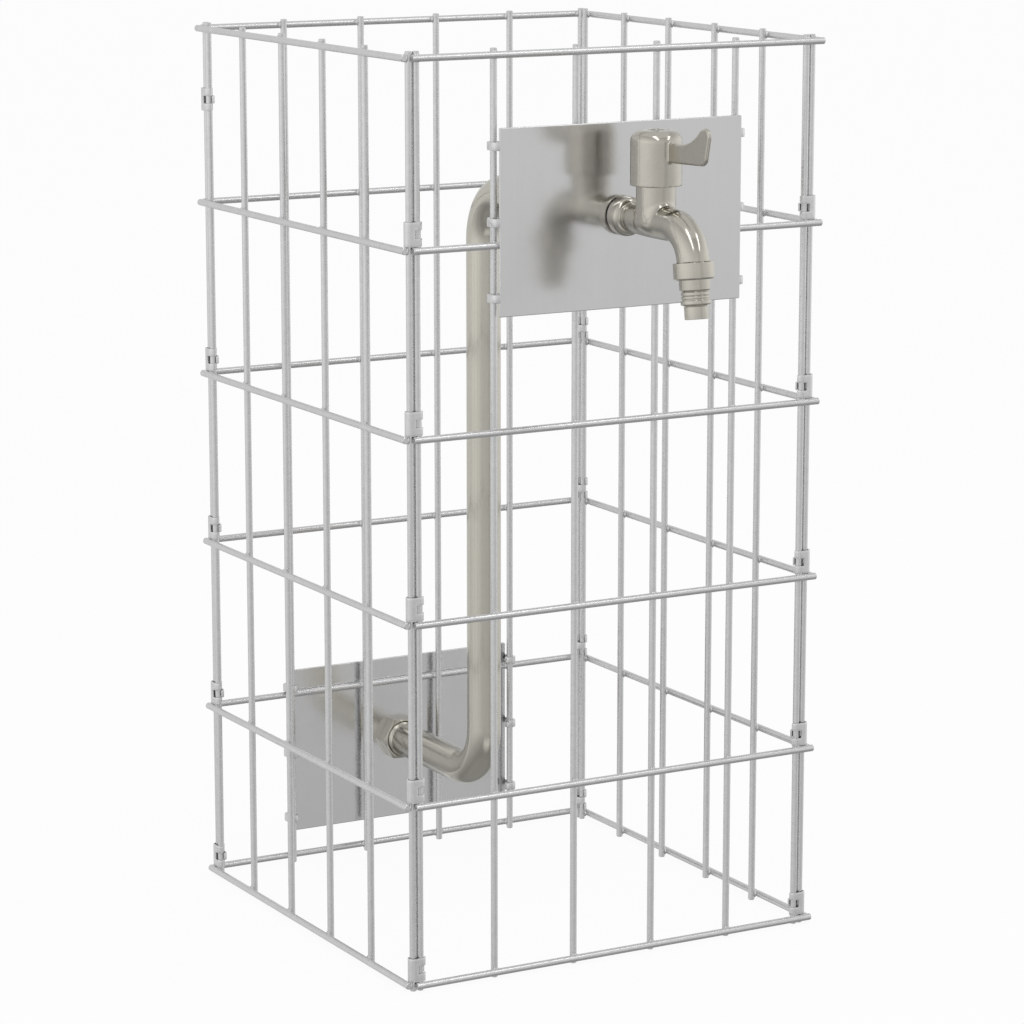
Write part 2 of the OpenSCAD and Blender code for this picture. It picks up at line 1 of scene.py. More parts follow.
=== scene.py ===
"""Garden standpipe: a welded mesh stone basket with a riser pipe inside and a lever tap on its front."""
import math

import bmesh
import bpy
import numpy as np
from bpy.props import FloatProperty, FloatVectorProperty, IntProperty, PointerProperty
from bpy.types import Operator, Panel, PropertyGroup
from mathutils import Matrix, Vector

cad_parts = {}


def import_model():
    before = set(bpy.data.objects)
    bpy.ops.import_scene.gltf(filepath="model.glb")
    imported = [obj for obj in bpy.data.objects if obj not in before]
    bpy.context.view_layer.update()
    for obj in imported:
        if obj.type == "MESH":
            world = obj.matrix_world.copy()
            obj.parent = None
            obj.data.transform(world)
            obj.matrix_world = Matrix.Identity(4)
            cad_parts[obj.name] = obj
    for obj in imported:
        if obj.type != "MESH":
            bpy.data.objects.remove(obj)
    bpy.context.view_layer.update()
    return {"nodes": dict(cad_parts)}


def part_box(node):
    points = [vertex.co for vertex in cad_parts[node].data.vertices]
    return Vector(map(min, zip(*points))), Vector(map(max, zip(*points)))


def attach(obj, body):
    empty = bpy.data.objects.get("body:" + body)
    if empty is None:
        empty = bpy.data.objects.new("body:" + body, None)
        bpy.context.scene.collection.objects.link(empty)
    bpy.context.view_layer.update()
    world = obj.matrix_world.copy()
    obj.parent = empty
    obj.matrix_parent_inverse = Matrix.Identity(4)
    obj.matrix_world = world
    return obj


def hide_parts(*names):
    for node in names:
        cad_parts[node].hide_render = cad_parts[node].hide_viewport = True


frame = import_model()

bl_info = {
    "name": "Garden standpipe",
    "version": (1, 0, 0),
    "blender": (4, 5, 0),
    "location": "3D View > Sidebar > Standpipe",
    "description": "Dresses the standpipe's solids with wires, castings, threads and finishes",
    "category": "Object",
}

MM = 0.001

# Gap between pieces that fit round one another
GAP = 0.12 * MM

# Angles in degrees above which an edge is shaded sharp, on crisp pieces and on castings
CRISP, CAST = 32.0, 55.0

# Places that the solids give: the face of the tap's plate, and the heights of the tap and the inlet
TAP_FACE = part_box("tap_plate")[0][1]
TAP_Z = (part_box("tap_plate")[0][2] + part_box("tap_plate")[1][2]) / 2
INLET_Z = (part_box("inlet_plate")[0][2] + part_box("inlet_plate")[1][2]) / 2

# Radius of the tap's thread, which goes through its plate
TAP_THREAD_R = 8.331 * MM

# End uprights, in mm from a panel's middle: inside the neighbouring panel's end wire, or outside it
INSIDE_END, OUTSIDE_END = 121.0, 124.5

# Upright wires of each panel: the direction of its level wires, and the first and last upright
PANELS = {
    "front_panel": (0, -INSIDE_END, INSIDE_END),
    "rear_panel": (0, -OUTSIDE_END, OUTSIDE_END),
    "left_panel": (1, -OUTSIDE_END, INSIDE_END),
    "right_panel": (1, -OUTSIDE_END, INSIDE_END),
}
INNER_UPRIGHTS = (-75.0, -25.0, 25.0, 75.0)

# Distance of the front and rear panels' uprights from the basket's middle
WIRE_PLANE = 125 * MM

# How bright metal mirrors the room, from straight below to straight above, and the white wall behind
ROOM_TONES = (
    (-1.0, 0.5), (-0.9, 0.5), (-0.75, 0.4), (-0.5, 0.53), (-0.25, 0.84), (-0.12, 1.01),
    (0.0, 1.08), (0.2, 1.15), (0.5, 1.0), (0.8, 0.8), (1.0, 0.75),
)
BACK_TONE = 1.05
WHITE = (1, 1, 1)

# Soft lights: name, the setting that holds the power, place, turn in degrees, and size
LIGHTS = (
    ("Overhead", "key_light", (0.1, -0.25, 2.4), 0.0, (2.6, 2.6)),
    ("Left strip", "strip_light", (-0.71, -1.48, 1.93), -14.5, (0.3, 2.1)),
    ("Right strip", "strip_light", (1.12, -1.82, 1.93), 7.3, (0.3, 2.1)),
)


class BasketSizes(PropertyGroup):
    """Sizes of the mesh panels, their clips and the plates."""

    wire_d: FloatProperty(
        name="Wire diameter", description="Diameter of the mesh wire", default=3.8 * MM, unit="LENGTH")
    wire_foot: FloatProperty(
        name="Wire foot", description="Upright wire past the last level wires",
        default=3.5 * MM, unit="LENGTH")
    rows: IntProperty(
        name="Rows", description="Rows of mesh in the height", default=5, min=1)
    weld_spread: FloatProperty(
        name="Weld spread", description="Half width of the metal at a weld", default=2.5 * MM, unit="LENGTH")
    clip_h: FloatProperty(
        name="Clip height", description="Height of a corner clip", default=13 * MM, unit="LENGTH")
    clip_t: FloatProperty(
        name="Clip sheet", description="Sheet thickness of a corner clip", default=0.8 * MM, unit="LENGTH")
    clip_bore: FloatProperty(
        name="Clip bore", description="Inside radius of a clip's rounded ends",
        default=2.27 * MM, unit="LENGTH")
    clip_span: FloatProperty(
        name="Clip span", description="Distance between a clip's two rounded ends",
        default=4 * MM, unit="LENGTH")
    clip_slid: FloatProperty(
        name="Clip slid", description="How far the loose rear left clip is slid up",
        default=51 * MM, unit="LENGTH")
    plate_w: FloatProperty(
        name="Plate width", description="Width of a plate without its hooks", default=150 * MM, unit="LENGTH")
    plate_h: FloatProperty(
        name="Plate height", description="Height of a plate", default=100 * MM, unit="LENGTH")
    plate_t: FloatProperty(
        name="Plate sheet", description="Sheet thickness of a plate", default=1.5 * MM, unit="LENGTH")
    plate_edge: FloatProperty(
        name="Plate edge", description="Rounding of a plate's edges", default=0.35 * MM, unit="LENGTH")
    hook_h: FloatProperty(
        name="Hook height", description="Height of a plate's hook", default=4.5 * MM, unit="LENGTH")
    hook_step: FloatProperty(
        name="Hook step", description="Spacing of the hooks", default=40.25 * MM, unit="LENGTH")


class PipeSizes(PropertyGroup):
    """Sizes of the riser pipe and of the fittings at its ends."""

    pipe_d: FloatProperty(
        name="Pipe diameter", description="Outside diameter of the pipe", default=19.8 * MM, unit="LENGTH")
    pipe_wall: FloatProperty(
        name="Pipe wall", description="Wall of the pipe", default=1.5 * MM, unit="LENGTH")
    bend_r: FloatProperty(
        name="Bend radius", description="Centreline radius of the two bends", default=30 * MM, unit="LENGTH")
    riser_y: FloatProperty(
        name="Riser place", description="Place of the upright run behind the centre",
        default=22 * MM, unit="LENGTH")
    thread_lift: FloatProperty(
        name="Thread lift", description="Height of a thread's crest over the pipe",
        default=0.5775 * MM, unit="LENGTH")
    thread_pitch: FloatProperty(
        name="Thread pitch", description="Pitch of the pipe thread", default=1.814 * MM, unit="LENGTH")
    nut_af: FloatProperty(
        name="Nut width", description="Width of the inlet nuts across their flats",
        default=24 * MM, unit="LENGTH")
    socket_af: FloatProperty(
        name="Socket width", description="Width of the tap socket across its flats",
        default=26.755 * MM, unit="LENGTH")
    nut_edge: FloatProperty(
        name="Nut edge", description="Rounding of the edges of nuts", default=0.45 * MM, unit="LENGTH")


class TapSizes(PropertyGroup):
    """Sizes of the tap, its lever and its hose tail."""

    collar_d: FloatProperty(
        name="Collar diameter", description="Diameter of the collar", default=21.4 * MM, unit="LENGTH")
    waist_d: FloatProperty(
        name="Waist diameter", description="Diameter of the waist", default=14.8 * MM, unit="LENGTH")
    barrel_d: FloatProperty(
        name="Barrel diameter", description="Diameter of the barrel under the valve",
        default=17.6 * MM, unit="LENGTH")
    valve_reach: FloatProperty(
        name="Valve reach", description="Distance of the valve axis from the plate",
        default=34 * MM, unit="LENGTH")
    housing_d: FloatProperty(
        name="Housing diameter", description="Diameter of the valve housing",
        default=21.2 * MM, unit="LENGTH")
    spout_d: FloatProperty(
        name="Spout diameter", description="Diameter of the spout", default=17.4 * MM, unit="LENGTH")
    spout_reach: FloatProperty(
        name="Spout reach", description="Distance of the bend's end from the plate",
        default=71.4 * MM, unit="LENGTH")
    spout_bend: FloatProperty(
        name="Spout bend", description="Centreline radius of the spout's bend",
        default=19.7 * MM, unit="LENGTH")
    spout_tilt: FloatProperty(
        name="Spout lean", description="Forward lean of the outlet", default=math.radians(8), unit="ROTATION")
    fillet: FloatProperty(
        name="Casting fillet", description="Blend between the body's forms", default=3.6 * MM, unit="LENGTH")
    cap_d: FloatProperty(
        name="Cap diameter", description="Diameter of the lever's cap", default=27.5 * MM, unit="LENGTH")
    cap_low: FloatProperty(
        name="Cap foot", description="Height of the cap's lower edge", default=19.4 * MM, unit="LENGTH")
    cap_top: FloatProperty(
        name="Cap top", description="Height of the cap's top", default=48.5 * MM, unit="LENGTH")
    cap_round: FloatProperty(
        name="Cap rounding", description="Rounding of the cap's top edge", default=6 * MM, unit="LENGTH")
    blade_t: FloatProperty(
        name="Blade thickness", description="Thickness of the blade", default=2.4 * MM, unit="LENGTH")
    blade_reach: FloatProperty(
        name="Blade reach", description="Reach of the blade from the valve axis",
        default=52.9 * MM, unit="LENGTH")
    cast_step: FloatProperty(
        name="Casting step", description="Mesh size of the cast forms", default=0.45 * MM, unit="LENGTH")


class FinishColours(PropertyGroup):
    """Colours of the finishes."""

    zinc: FloatVectorProperty(
        name="Zinc", description="Galvanised wire", default=(0.69, 0.69, 0.695), subtype="COLOR")
    bright_zinc: FloatVectorProperty(
        name="Bright zinc", description="Clips and washers", default=(0.72, 0.72, 0.72), subtype="COLOR")
    plate: FloatVectorProperty(
        name="Plate", description="Satin plate steel", default=(0.72, 0.72, 0.72), subtype="COLOR")
    nickel: FloatVectorProperty(
        name="Nickel", description="Satin nickel plating", default=(0.525, 0.502, 0.447), subtype="COLOR")
    pipe: FloatVectorProperty(
        name="Pipe", description="Satin nickel plating on the pipe",
        default=(0.605, 0.582, 0.515), subtype="COLOR")
    brass: FloatVectorProperty(
        name="Brass", description="Turned brass", default=(0.66, 0.48, 0.2), subtype="COLOR")
    rubber: FloatVectorProperty(
        name="Rubber", description="Black rubber", default=(0.03, 0.03, 0.03), subtype="COLOR")
    fibre: FloatVectorProperty(
        name="Fibre", description="Pressed fibre", default=(0.28, 0.08, 0.04), subtype="COLOR")
    ceramic: FloatVectorProperty(
        name="Ceramic", description="Ground ceramic", default=(0.86, 0.84, 0.78), subtype="COLOR")


class StageSettings(PropertyGroup):
    """Camera, floor and lights."""

    camera_place: FloatVectorProperty(
        name="Camera", description="Place of the camera", default=(-1.0268, -1.8377, 0.6548), subtype="XYZ")
    camera_pitch: FloatProperty(
        name="Pitch", description="How far the camera looks down",
        default=math.radians(11.396), unit="ROTATION")
    camera_turn: FloatProperty(
        name="Turn", description="Turn of the camera about the vertical",
        default=math.radians(-29.346), unit="ROTATION")
    lens: FloatProperty(
        name="Lens", description="Focal length in mm on a 36 mm sensor", default=131.4, unit="CAMERA")
    floor_w: FloatProperty(
        name="Floor", description="Width of the floor", default=40.0, unit="LENGTH")
    room_light: FloatProperty(
        name="Room light", description="Strength of the even light from all round", default=0.8)
    mirrored_room: FloatProperty(
        name="Mirrored room", description="Brightness of the room's front as metal mirrors it", default=0.7)
    left_wall: FloatProperty(
        name="Left wall", description="Extra brightness of the left wall in metal", default=0.28)
    right_wall: FloatProperty(
        name="Right wall", description="Extra brightness of the right wall in metal", default=0.3)
    floor_glow: FloatProperty(
        name="Floor glow", description="Extra brightness of the floor in front, as metal mirrors it",
        default=0.5)
    front_gap: FloatProperty(
        name="Front gap", description="How much darker metal mirrors the gap in the front wall", default=0.12)
    key_light: FloatProperty(
        name="Key light", description="Power of the large light overhead", default=5.0, unit="POWER")
    strip_light: FloatProperty(
        name="Strip lights", description="Power of each long light overhead in front",
        default=5.0, unit="POWER")


# Forms: points and faces of a mesh, gathered piece by piece


class Form:
    """Points and faces of one mesh piece."""

    def __init__(self):
        self.points = []
        self.faces = []

    def skin(self, loops, ring=False, caps=False):
        """Skins loops of equal length; ring joins the last loop to the first, caps closes both ends."""
        start = len(self.points)
        count = len(loops[0])
        for loop in loops:
            self.points.extend(tuple(p) for p in loop)
        rows = len(loops)
        for i in range(rows if ring else rows - 1):
            a = start + i * count
            b = start + (i + 1) % rows * count
            for j in range(count):
                k = (j + 1) % count
                self.faces.append((a + j, a + k, b + k, b + j))
        if caps:
            self.faces.append(tuple(reversed(range(start, start + count))))
            self.faces.append(tuple(range(start + (rows - 1) * count, start + rows * count)))

    def add(self, points, faces):
        """Adds a ready mesh."""
        start = len(self.points)
        self.points.extend(tuple(p) for p in points)
        self.faces.extend(tuple(start + i for i in face) for face in faces)

    def piece(self, name, body, finish, nodes, sharp=38.0, soften=0.0):
        """Makes the object, which rides on a body and stands for the nodes."""
        mesh = bpy.data.meshes.new(name)
        mesh.from_pydata(self.points, [], self.faces)
        mesh.validate()
        bm = bmesh.new()
        bm.from_mesh(mesh)
        bmesh.ops.recalc_face_normals(bm, faces=bm.faces)
        bm.to_mesh(mesh)
        bm.free()
        mesh.shade_smooth()
        mesh.set_sharp_from_angle(angle=math.radians(sharp))
        mesh.materials.append(finish)
        obj = bpy.data.objects.new(name, mesh)
        bpy.context.scene.collection.objects.link(obj)
        if soften:
            bevel = obj.modifiers.new("Soft edges", "BEVEL")
            bevel.width = soften
            bevel.segments = 2
            bevel.limit_method = "ANGLE"
            bevel.angle_limit = math.radians(sharp)
        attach(obj, body)
        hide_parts(*nodes)
        return obj


def placed(points, place):
    """The points of a loop, moved by a matrix."""
    return [place @ Vector(p) for p in points]


def along(origin, axis, turn=0.0):
    """The matrix that puts local +Z on an axis through origin."""
    lean = Vector((0, 0, 1)).rotation_difference(Vector(axis)).to_matrix().to_4x4()
    return Matrix.Translation(Vector(origin)) @ lean @ Matrix.Rotation(turn, 4, "Z")


def circle(r, h, sides):
    """A loop of radius r at height h."""
    return [(r * math.cos(math.tau * i / sides), r * math.sin(math.tau * i / sides), h) for i in range(sides)]


def rounded(corners, radius, steps=4):
    """A closed outline with each corner rounded off."""
    out = []
    for i, corner in enumerate(corners):
        p = np.array(corner, float)
        before = np.array(corners[i - 1], float) - p
        after = np.array(corners[(i + 1) % len(corners)], float) - p
        la, lb = np.linalg.norm(before), np.linalg.norm(after)
        reach = min(radius, 0.45 * la, 0.45 * lb)
        a = p + before / la * reach
        b = p + after / lb * reach
        for k in range(steps + 1):
            t = k / steps
            out.append(tuple((1 - t) ** 2 * a + 2 * t * (1 - t) * p + t * t * b))
    return out


def lathe(form, section, place, radius=0.0, sides=72):
    """Turns a closed section of (radius, height) points about the place's axis."""
    outline = rounded(section, radius) if radius else section
    form.skin([placed(circle(r, h, sides), place) for r, h in outline], ring=True)


def rod(form, start, end, r, sides=20, edge=0.35 * MM):
    """A straight wire with slightly broken edges at its cut ends."""
    start, end = Vector(start), Vector(end)
    length = (end - start).length
    place = along(start, (end - start) / length)
    stops = [(r - edge, 0.0), (r, edge), (r, length / 2), (r, length - edge), (r - edge, length)]
    form.skin([placed(circle(q, h, sides), place) for q, h in stops], caps=True)


def nugget(form, centre, radii, sides=12, rows=6):
    """A flattened drop of weld metal."""
    loops = []
    for i in range(1, rows):
        a = math.pi * i / rows
        loops.append([
            (centre[0] + radii[0] * math.sin(a) * math.cos(math.tau * j / sides),
             centre[1] + radii[1] * math.sin(a) * math.sin(math.tau * j / sides),
             centre[2] + radii[2] * math.cos(a))
            for j in range(sides)
        ])
    form.skin(loops, caps=True)


def thread_sleeve(form, place, length, crest, pitch, depth, core, sides=64, turn_steps=10):
    """A sleeve with a thread outside, which runs out at both ends, along the place's axis."""
    run_out = pitch * 0.6
    loops = [placed(circle(core, 0.0, sides), place)]
    steps = int(length / pitch * turn_steps)
    for i in range(steps + 1):
        h = length * i / steps
        fade = min(h, length - h, run_out) / run_out
        loop = []
        for j in range(sides):
            a = math.tau * j / sides
            wave = 0.5 + 0.5 * math.cos(math.tau * h / pitch - a)
            r = crest - depth * (1 - wave * fade)
            loop.append((r * math.cos(a), r * math.sin(a), h))
        loops.append(placed(loop, place))
    loops.append(placed(circle(core, length, sides), place))
    form.skin(loops, ring=True)


def flat_ring(form, place, bore, outer, thick, edge):
    """A flat ring with rounded edges along the place's axis."""
    lathe(form, [(bore, 0), (outer, 0), (outer, thick), (bore, thick)], place, edge)


def clear_bore(pipe):
    """The radius that clears the pipe's thread."""
    return pipe.pipe_d / 2 + pipe.thread_lift + GAP


def hexagon(af, radius, steps=4):
    """A hexagon outline with rounded corners and three more points on each flat."""
    corner = af / 2 / math.cos(math.pi / 6)
    corners = [(corner * math.cos(math.pi / 3 * i), corner * math.sin(math.pi / 3 * i)) for i in range(6)]
    bends = rounded(corners, radius, steps)
    out = []
    for i, p in enumerate(bends):
        out.append(p)
        if i % (steps + 1) == steps:
            q = bends[(i + 1) % len(bends)]
            out.extend(((1 - t) * p[0] + t * q[0], (1 - t) * p[1] + t * q[1]) for t in (0.25, 0.5, 0.75))
    return out


def hex_nut(form, place, af, height, bore, chamfers, bore_edge):
    """A hexagon nut along the place's axis, with cone chamfers that meet the flats in arcs."""
    corner_r, face_share, chamfer = 0.8 * MM, 0.955, math.radians(30)
    outline = hexagon(af, corner_r)
    face_r = af / 2 * face_share
    slope = math.tan(chamfer)

    def at(r, h):
        return placed([(r * x / math.hypot(x, y), r * y / math.hypot(x, y), h) for x, y in outline], place)

    def side(low):
        loop = []
        for x, y in outline:
            drop = (math.hypot(x, y) - face_r) * slope if chamfers[0 if low else 1] else 0.0
            loop.append((x, y, drop if low else height - drop))
        return placed(loop, place)

    loops = [at(bore, bore_edge), at(bore + bore_edge, 0.0)]
    if chamfers[0]:
        loops.append(at(face_r, 0.0))
    loops += [side(True), side(False)]
    if chamfers[1]:
        loops.append(at(face_r, height))
    loops += [at(bore + bore_edge, height), at(bore, height - bore_edge)]
    form.skin(loops, ring=True)


# Cast forms: a distance field and its surface


def outline_distance(u, v, outline, least=1e-18):
    """Signed distance of points (u, v) from a closed outline, negative inside."""
    best = np.full(u.shape, np.inf)
    inside = np.zeros(u.shape, bool)
    for i, (bu, bv) in enumerate(outline):
        au, av = outline[i - 1]
        eu, ev = bu - au, bv - av
        wu, wv = u - au, v - av
        t = np.clip((wu * eu + wv * ev) / max(eu * eu + ev * ev, least), 0, 1)
        best = np.minimum(best, (wu - eu * t) ** 2 + (wv - ev * t) ** 2)
        crosses = (av > v) != (bv > v)
        if ev:
            inside ^= crosses & (wu < eu * wv / ev)
    return np.where(inside, -1, 1) * np.sqrt(best)


def soft_union(a, b, k):
    """Union of two fields with a blend of size k between them."""
    h = np.maximum(k - np.abs(a - b), 0) / k
    return np.minimum(a, b) - h * h * k / 4


def bar_distance(p, start, end, r):
    """Signed distance from a round bar with flat ends."""
    start, end = np.array(start), np.array(end)
    length = np.linalg.norm(end - start)
    axis = (end - start) / length
    w = p - start
    h = w @ axis
    q = np.linalg.norm(w - h[:, None] * axis, axis=1) - r
    e = np.abs(h - length / 2) - length / 2
    return np.minimum(np.maximum(q, e), 0) + np.hypot(np.maximum(q, 0), np.maximum(e, 0))


def cast_surface(field, low, high, step, chunks=8, rounds=4):
    """Points and faces of the surface where a field is zero, from a grid of cells."""
    axes = [np.arange(a, b + step, step) for a, b in zip(low, high)]
    grid = np.stack(np.meshgrid(*axes, indexing="ij"), -1)
    shape = grid.shape[:3]
    flat = grid.reshape(-1, 3)
    d = np.concatenate([field(part) for part in np.array_split(flat, chunks)]).reshape(shape)
    inside = d < 0
    corners = [(i, j, k) for i in (0, 1) for j in (0, 1) for k in (0, 1)]

    def corner(a, c):
        return a[c[0]:shape[0] - 1 + c[0], c[1]:shape[1] - 1 + c[1], c[2]:shape[2] - 1 + c[2]]

    filled = sum(corner(inside, c).astype(np.int8) for c in corners)
    cells = np.argwhere((filled > 0) & (filled < len(corners)))
    index = np.full([n - 1 for n in shape], -1)
    index[tuple(cells.T)] = np.arange(len(cells))
    total = np.zeros((len(cells), 3))
    count = np.zeros(len(cells))
    for a in corners:
        for axis in range(3):
            if a[axis]:
                continue
            b = tuple(v + (n == axis) for n, v in enumerate(a))
            da = d[tuple((cells + a).T)]
            db = d[tuple((cells + b).T)]
            hit = (da < 0) != (db < 0)
            t = np.where(hit, da / np.where(hit, da - db, 1), 0)
            place = np.array(a, float) + t[:, None] * (np.array(b) - np.array(a))
            total += np.where(hit[:, None], place, 0)
            count += hit
    points = np.array(low) + (cells + total / count[:, None]) * step
    faces = []
    for axis in range(3):
        u, v = [n for n in range(3) if n != axis]
        ahead = np.roll(inside, -1, axis)
        change = inside != ahead
        keep = [slice(1, n - 1) for n in shape]
        keep[axis] = slice(0, shape[axis] - 1)
        edges = np.argwhere(change[tuple(keep)])
        edges += np.array([0 if n == axis else 1 for n in range(3)])
        quad = []
        for du, dv in ((-1, -1), (0, -1), (0, 0), (-1, 0)):
            cell = edges.copy()
            cell[:, u] += du
            cell[:, v] += dv
            quad.append(index[tuple(cell.T)])
        faces.append(np.stack(quad, 1))
    eps, reach, least = step * 0.05, step * 0.5, 0.05
    for _ in range(rounds):
        value = field(points)
        rises = [field(points + eps * e) - field(points - eps * e) for e in np.eye(3)]
        slope = np.stack(rises, 1) / (2 * eps)
        size = np.maximum((slope * slope).sum(1), least)
        move = -(value / size)[:, None] * slope
        limit = np.maximum(np.linalg.norm(move, axis=1) / reach, 1)
        points = points + move / limit[:, None]
    return points, np.concatenate(faces).tolist()


def curve(a, b, c, n=10):
    """Points of a quadratic curve from a to c that bends towards b."""
    a, b, c = (np.array(p, float) for p in (a, b, c))
    return [tuple((1 - t) ** 2 * a + 2 * t * (1 - t) * b + t * t * c) for t in np.linspace(0, 1, n + 1)]


def arc(cx, cy, r, a0, a1, n=10):
    """Points of an arc about (cx, cy)."""
    return [(cx + r * math.cos(a), cy + r * math.sin(a)) for a in np.radians(np.linspace(a0, a1, n + 1))]


# Finishes


class Net:
    """A node tree with short calls for adding and joining nodes."""

    def __init__(self, tree):
        self.tree = tree

    def node(self, kind, settings=None, **inputs):
        """Adds a node, sets its fields and joins or sets its inputs by name."""
        made = self.tree.nodes.new(kind)
        for key, value in (settings or {}).items():
            setattr(made, key, value)
        for key, value in inputs.items():
            self.feed(made.inputs[key.replace("_", " ")], value)
        return made

    def feed(self, socket, value):
        """Joins an output to the socket, or sets the socket."""
        if isinstance(value, bpy.types.NodeSocket):
            self.tree.links.new(value, socket)
        else:
            socket.default_value = value

    def math(self, operation, a, b=0.0, clamp=False):
        """A maths node's output."""
        made = self.tree.nodes.new("ShaderNodeMath")
        made.operation = operation
        made.use_clamp = clamp
        self.feed(made.inputs[0], a)
        self.feed(made.inputs[1], b)
        return made.outputs[0]

    def span(self, value, low, high, to_low=0.0, to_high=1.0):
        """A value moved from one range to another, clamped."""
        made = self.node("ShaderNodeMapRange")
        for i, v in enumerate((value, low, high, to_low, to_high)):
            self.feed(made.inputs[i], v)
        return made.outputs[0]

    def blend(self, factor, a, b):
        """Two colours mixed."""
        made = self.tree.nodes.new("ShaderNodeMix")
        made.data_type = "RGBA"
        self.feed(made.inputs[0], factor)
        self.feed(made.inputs[6], a)
        self.feed(made.inputs[7], b)
        return made.outputs[2]

    def place(self):
        """The object's own coordinates."""
        return self.node("ShaderNodeTexCoord").outputs["Object"]

    def noise(self, scale, detail, roughness=0.5, place=None):
        """Noise over the object's own coordinates, or over a given place."""
        over = self.place() if place is None else place
        made = self.node("ShaderNodeTexNoise", Vector=over, Scale=scale, Detail=detail, Roughness=roughness)
        return made.outputs["Fac"]

    def weighed(self, a, a_share, b, b_share):
        """The sum of two values, each times its share."""
        return self.math("ADD", self.math("MULTIPLY", a, a_share), self.math("MULTIPLY", b, b_share))

    def layered(self, factor, a, b):
        """Two shaders mixed."""
        made = self.node("ShaderNodeMixShader", Fac=factor)
        self.feed(made.inputs[1], a.outputs[0])
        self.feed(made.inputs[2], b.outputs[0])
        return made


def effect(name, inputs, outputs):
    """A new shared shader group's net, inputs and outputs; none if it exists."""
    if name in bpy.data.node_groups:
        return None
    tree = bpy.data.node_groups.new(name, "ShaderNodeTree")
    for label, value in inputs:
        socket = tree.interface.new_socket(label, in_out="INPUT", socket_type="NodeSocketFloat")
        socket.default_value = value
    for label in outputs:
        tree.interface.new_socket(label, in_out="OUTPUT", socket_type="NodeSocketFloat")
    net = Net(tree)
    return net, net.node("NodeGroupInput").outputs, net.node("NodeGroupOutput").inputs


def zinc_spangle():
    """Zinc crystals: a tint and a polish for each crystal, and a fine height."""
    made = effect("Zinc spangle", [("Crystals", 260.0), ("Cloud", 22.0)], ("Tint", "Polish", "Height"))
    if made:
        net, given, out = made
        ragged, waver, pores = 180.0, 3 * MM, 1400.0
        place = net.place()
        warp = net.node("ShaderNodeTexNoise", Vector=place, Scale=ragged, Detail=2.0)
        bent = net.node("ShaderNodeVectorMath", {"operation": "MULTIPLY_ADD"})
        net.feed(bent.inputs[0], warp.outputs["Color"])
        net.feed(bent.inputs[1], (waver, waver, waver))
        net.feed(bent.inputs[2], place)
        cells = net.node("ShaderNodeTexVoronoi", Vector=bent.outputs[0], Scale=given["Crystals"])
        tint, polish, height = net.node("ShaderNodeSeparateColor", Color=cells.outputs["Color"]).outputs
        cloud = net.noise(given["Cloud"], 4.0)
        net.feed(out["Tint"], net.weighed(tint, 0.55, cloud, 0.45))
        net.feed(out["Polish"], net.weighed(polish, 0.5, cloud, 0.5))
        net.feed(out["Height"], net.weighed(height, 0.4, net.noise(pores, 3.0), 0.6))
    return bpy.data.node_groups["Zinc spangle"]


def satin_grain():
    """Fine polishing lines that run one way, as a height and a streak."""
    ways = [("Along X", 60.0), ("Along Y", 60.0), ("Along Z", 2600.0)]
    made = effect("Satin grain", ways, ("Height", "Streak"))
    if made:
        net, given, out = made
        scale = net.node("ShaderNodeCombineXYZ", X=given["Along X"], Y=given["Along Y"], Z=given["Along Z"])
        stretched = net.node("ShaderNodeVectorMath", {"operation": "MULTIPLY"})
        net.feed(stretched.inputs[0], net.place())
        net.feed(stretched.inputs[1], scale.outputs[0])
        fine = net.noise(1.0, 3.0, 0.6, stretched.outputs[0])
        wide = net.noise(0.16, 2.0, 0.5, stretched.outputs[0])
        net.feed(out["Height"], fine)
        net.feed(out["Streak"], net.weighed(fine, 0.5, wide, 0.5))
    return bpy.data.node_groups["Satin grain"]


def handling_marks():
    """Smudges and fine scuffs from handling, as two masks."""
    made = effect("Handling marks", [("Size", 45.0), ("Scuffs", 700.0)], ("Smudge", "Scuff"))
    if made:
        net, given, out = made
        net.feed(out["Smudge"], net.span(net.noise(given["Size"], 5.0, 0.62), 0.38, 0.68))
        net.feed(out["Scuff"], net.span(net.noise(given["Scuffs"], 4.0, 0.7), 0.58, 0.72))
    return bpy.data.node_groups["Handling marks"]


def edge_wear_and_hollow_shade():
    """Worn edges, and hollows that get painted shade, as two masks."""
    made = effect("Edge wear", [("Grain", 220.0)], ("Worn", "Hollow"))
    if made:
        net, given, out = made
        point = net.node("ShaderNodeNewGeometry").outputs["Pointiness"]
        rubbed = net.span(net.noise(given["Grain"], 3.0), 0.35, 0.65)
        net.feed(out["Worn"], net.math("MULTIPLY", net.span(point, 0.53, 0.62), rubbed, True))
        # Concave places, where the base colour is darkened as painted shade
        net.feed(out["Hollow"], net.span(point, 0.49, 0.42))
    return bpy.data.node_groups["Edge wear"]


def use_effect(net, group, **values):
    """Places a shared effect in a material and returns its outputs."""
    made = net.node("ShaderNodeGroup", {"node_tree": group})
    for key, value in values.items():
        made.inputs[key.replace("_", " ")].default_value = value
    return made.outputs


def finish(name):
    """A new material's net and the inputs of its Principled shader, or none if it exists."""
    if name in bpy.data.materials:
        return None
    material = bpy.data.materials.new(name)
    material.use_nodes = True
    net = Net(material.node_tree)
    return net, material.node_tree.nodes["Principled BSDF"].inputs


def shade(colour, factor):
    """A colour with its brightness changed, as RGBA."""
    return (*(min(c * factor, 1.0) for c in colour), 1.0)


def bump(net, shader, height, distance, strength):
    """Joins a height to the shader's normal."""
    made = net.node("ShaderNodeBump", Height=height, Distance=distance, Strength=strength)
    net.feed(shader["Normal"], made.outputs[0])


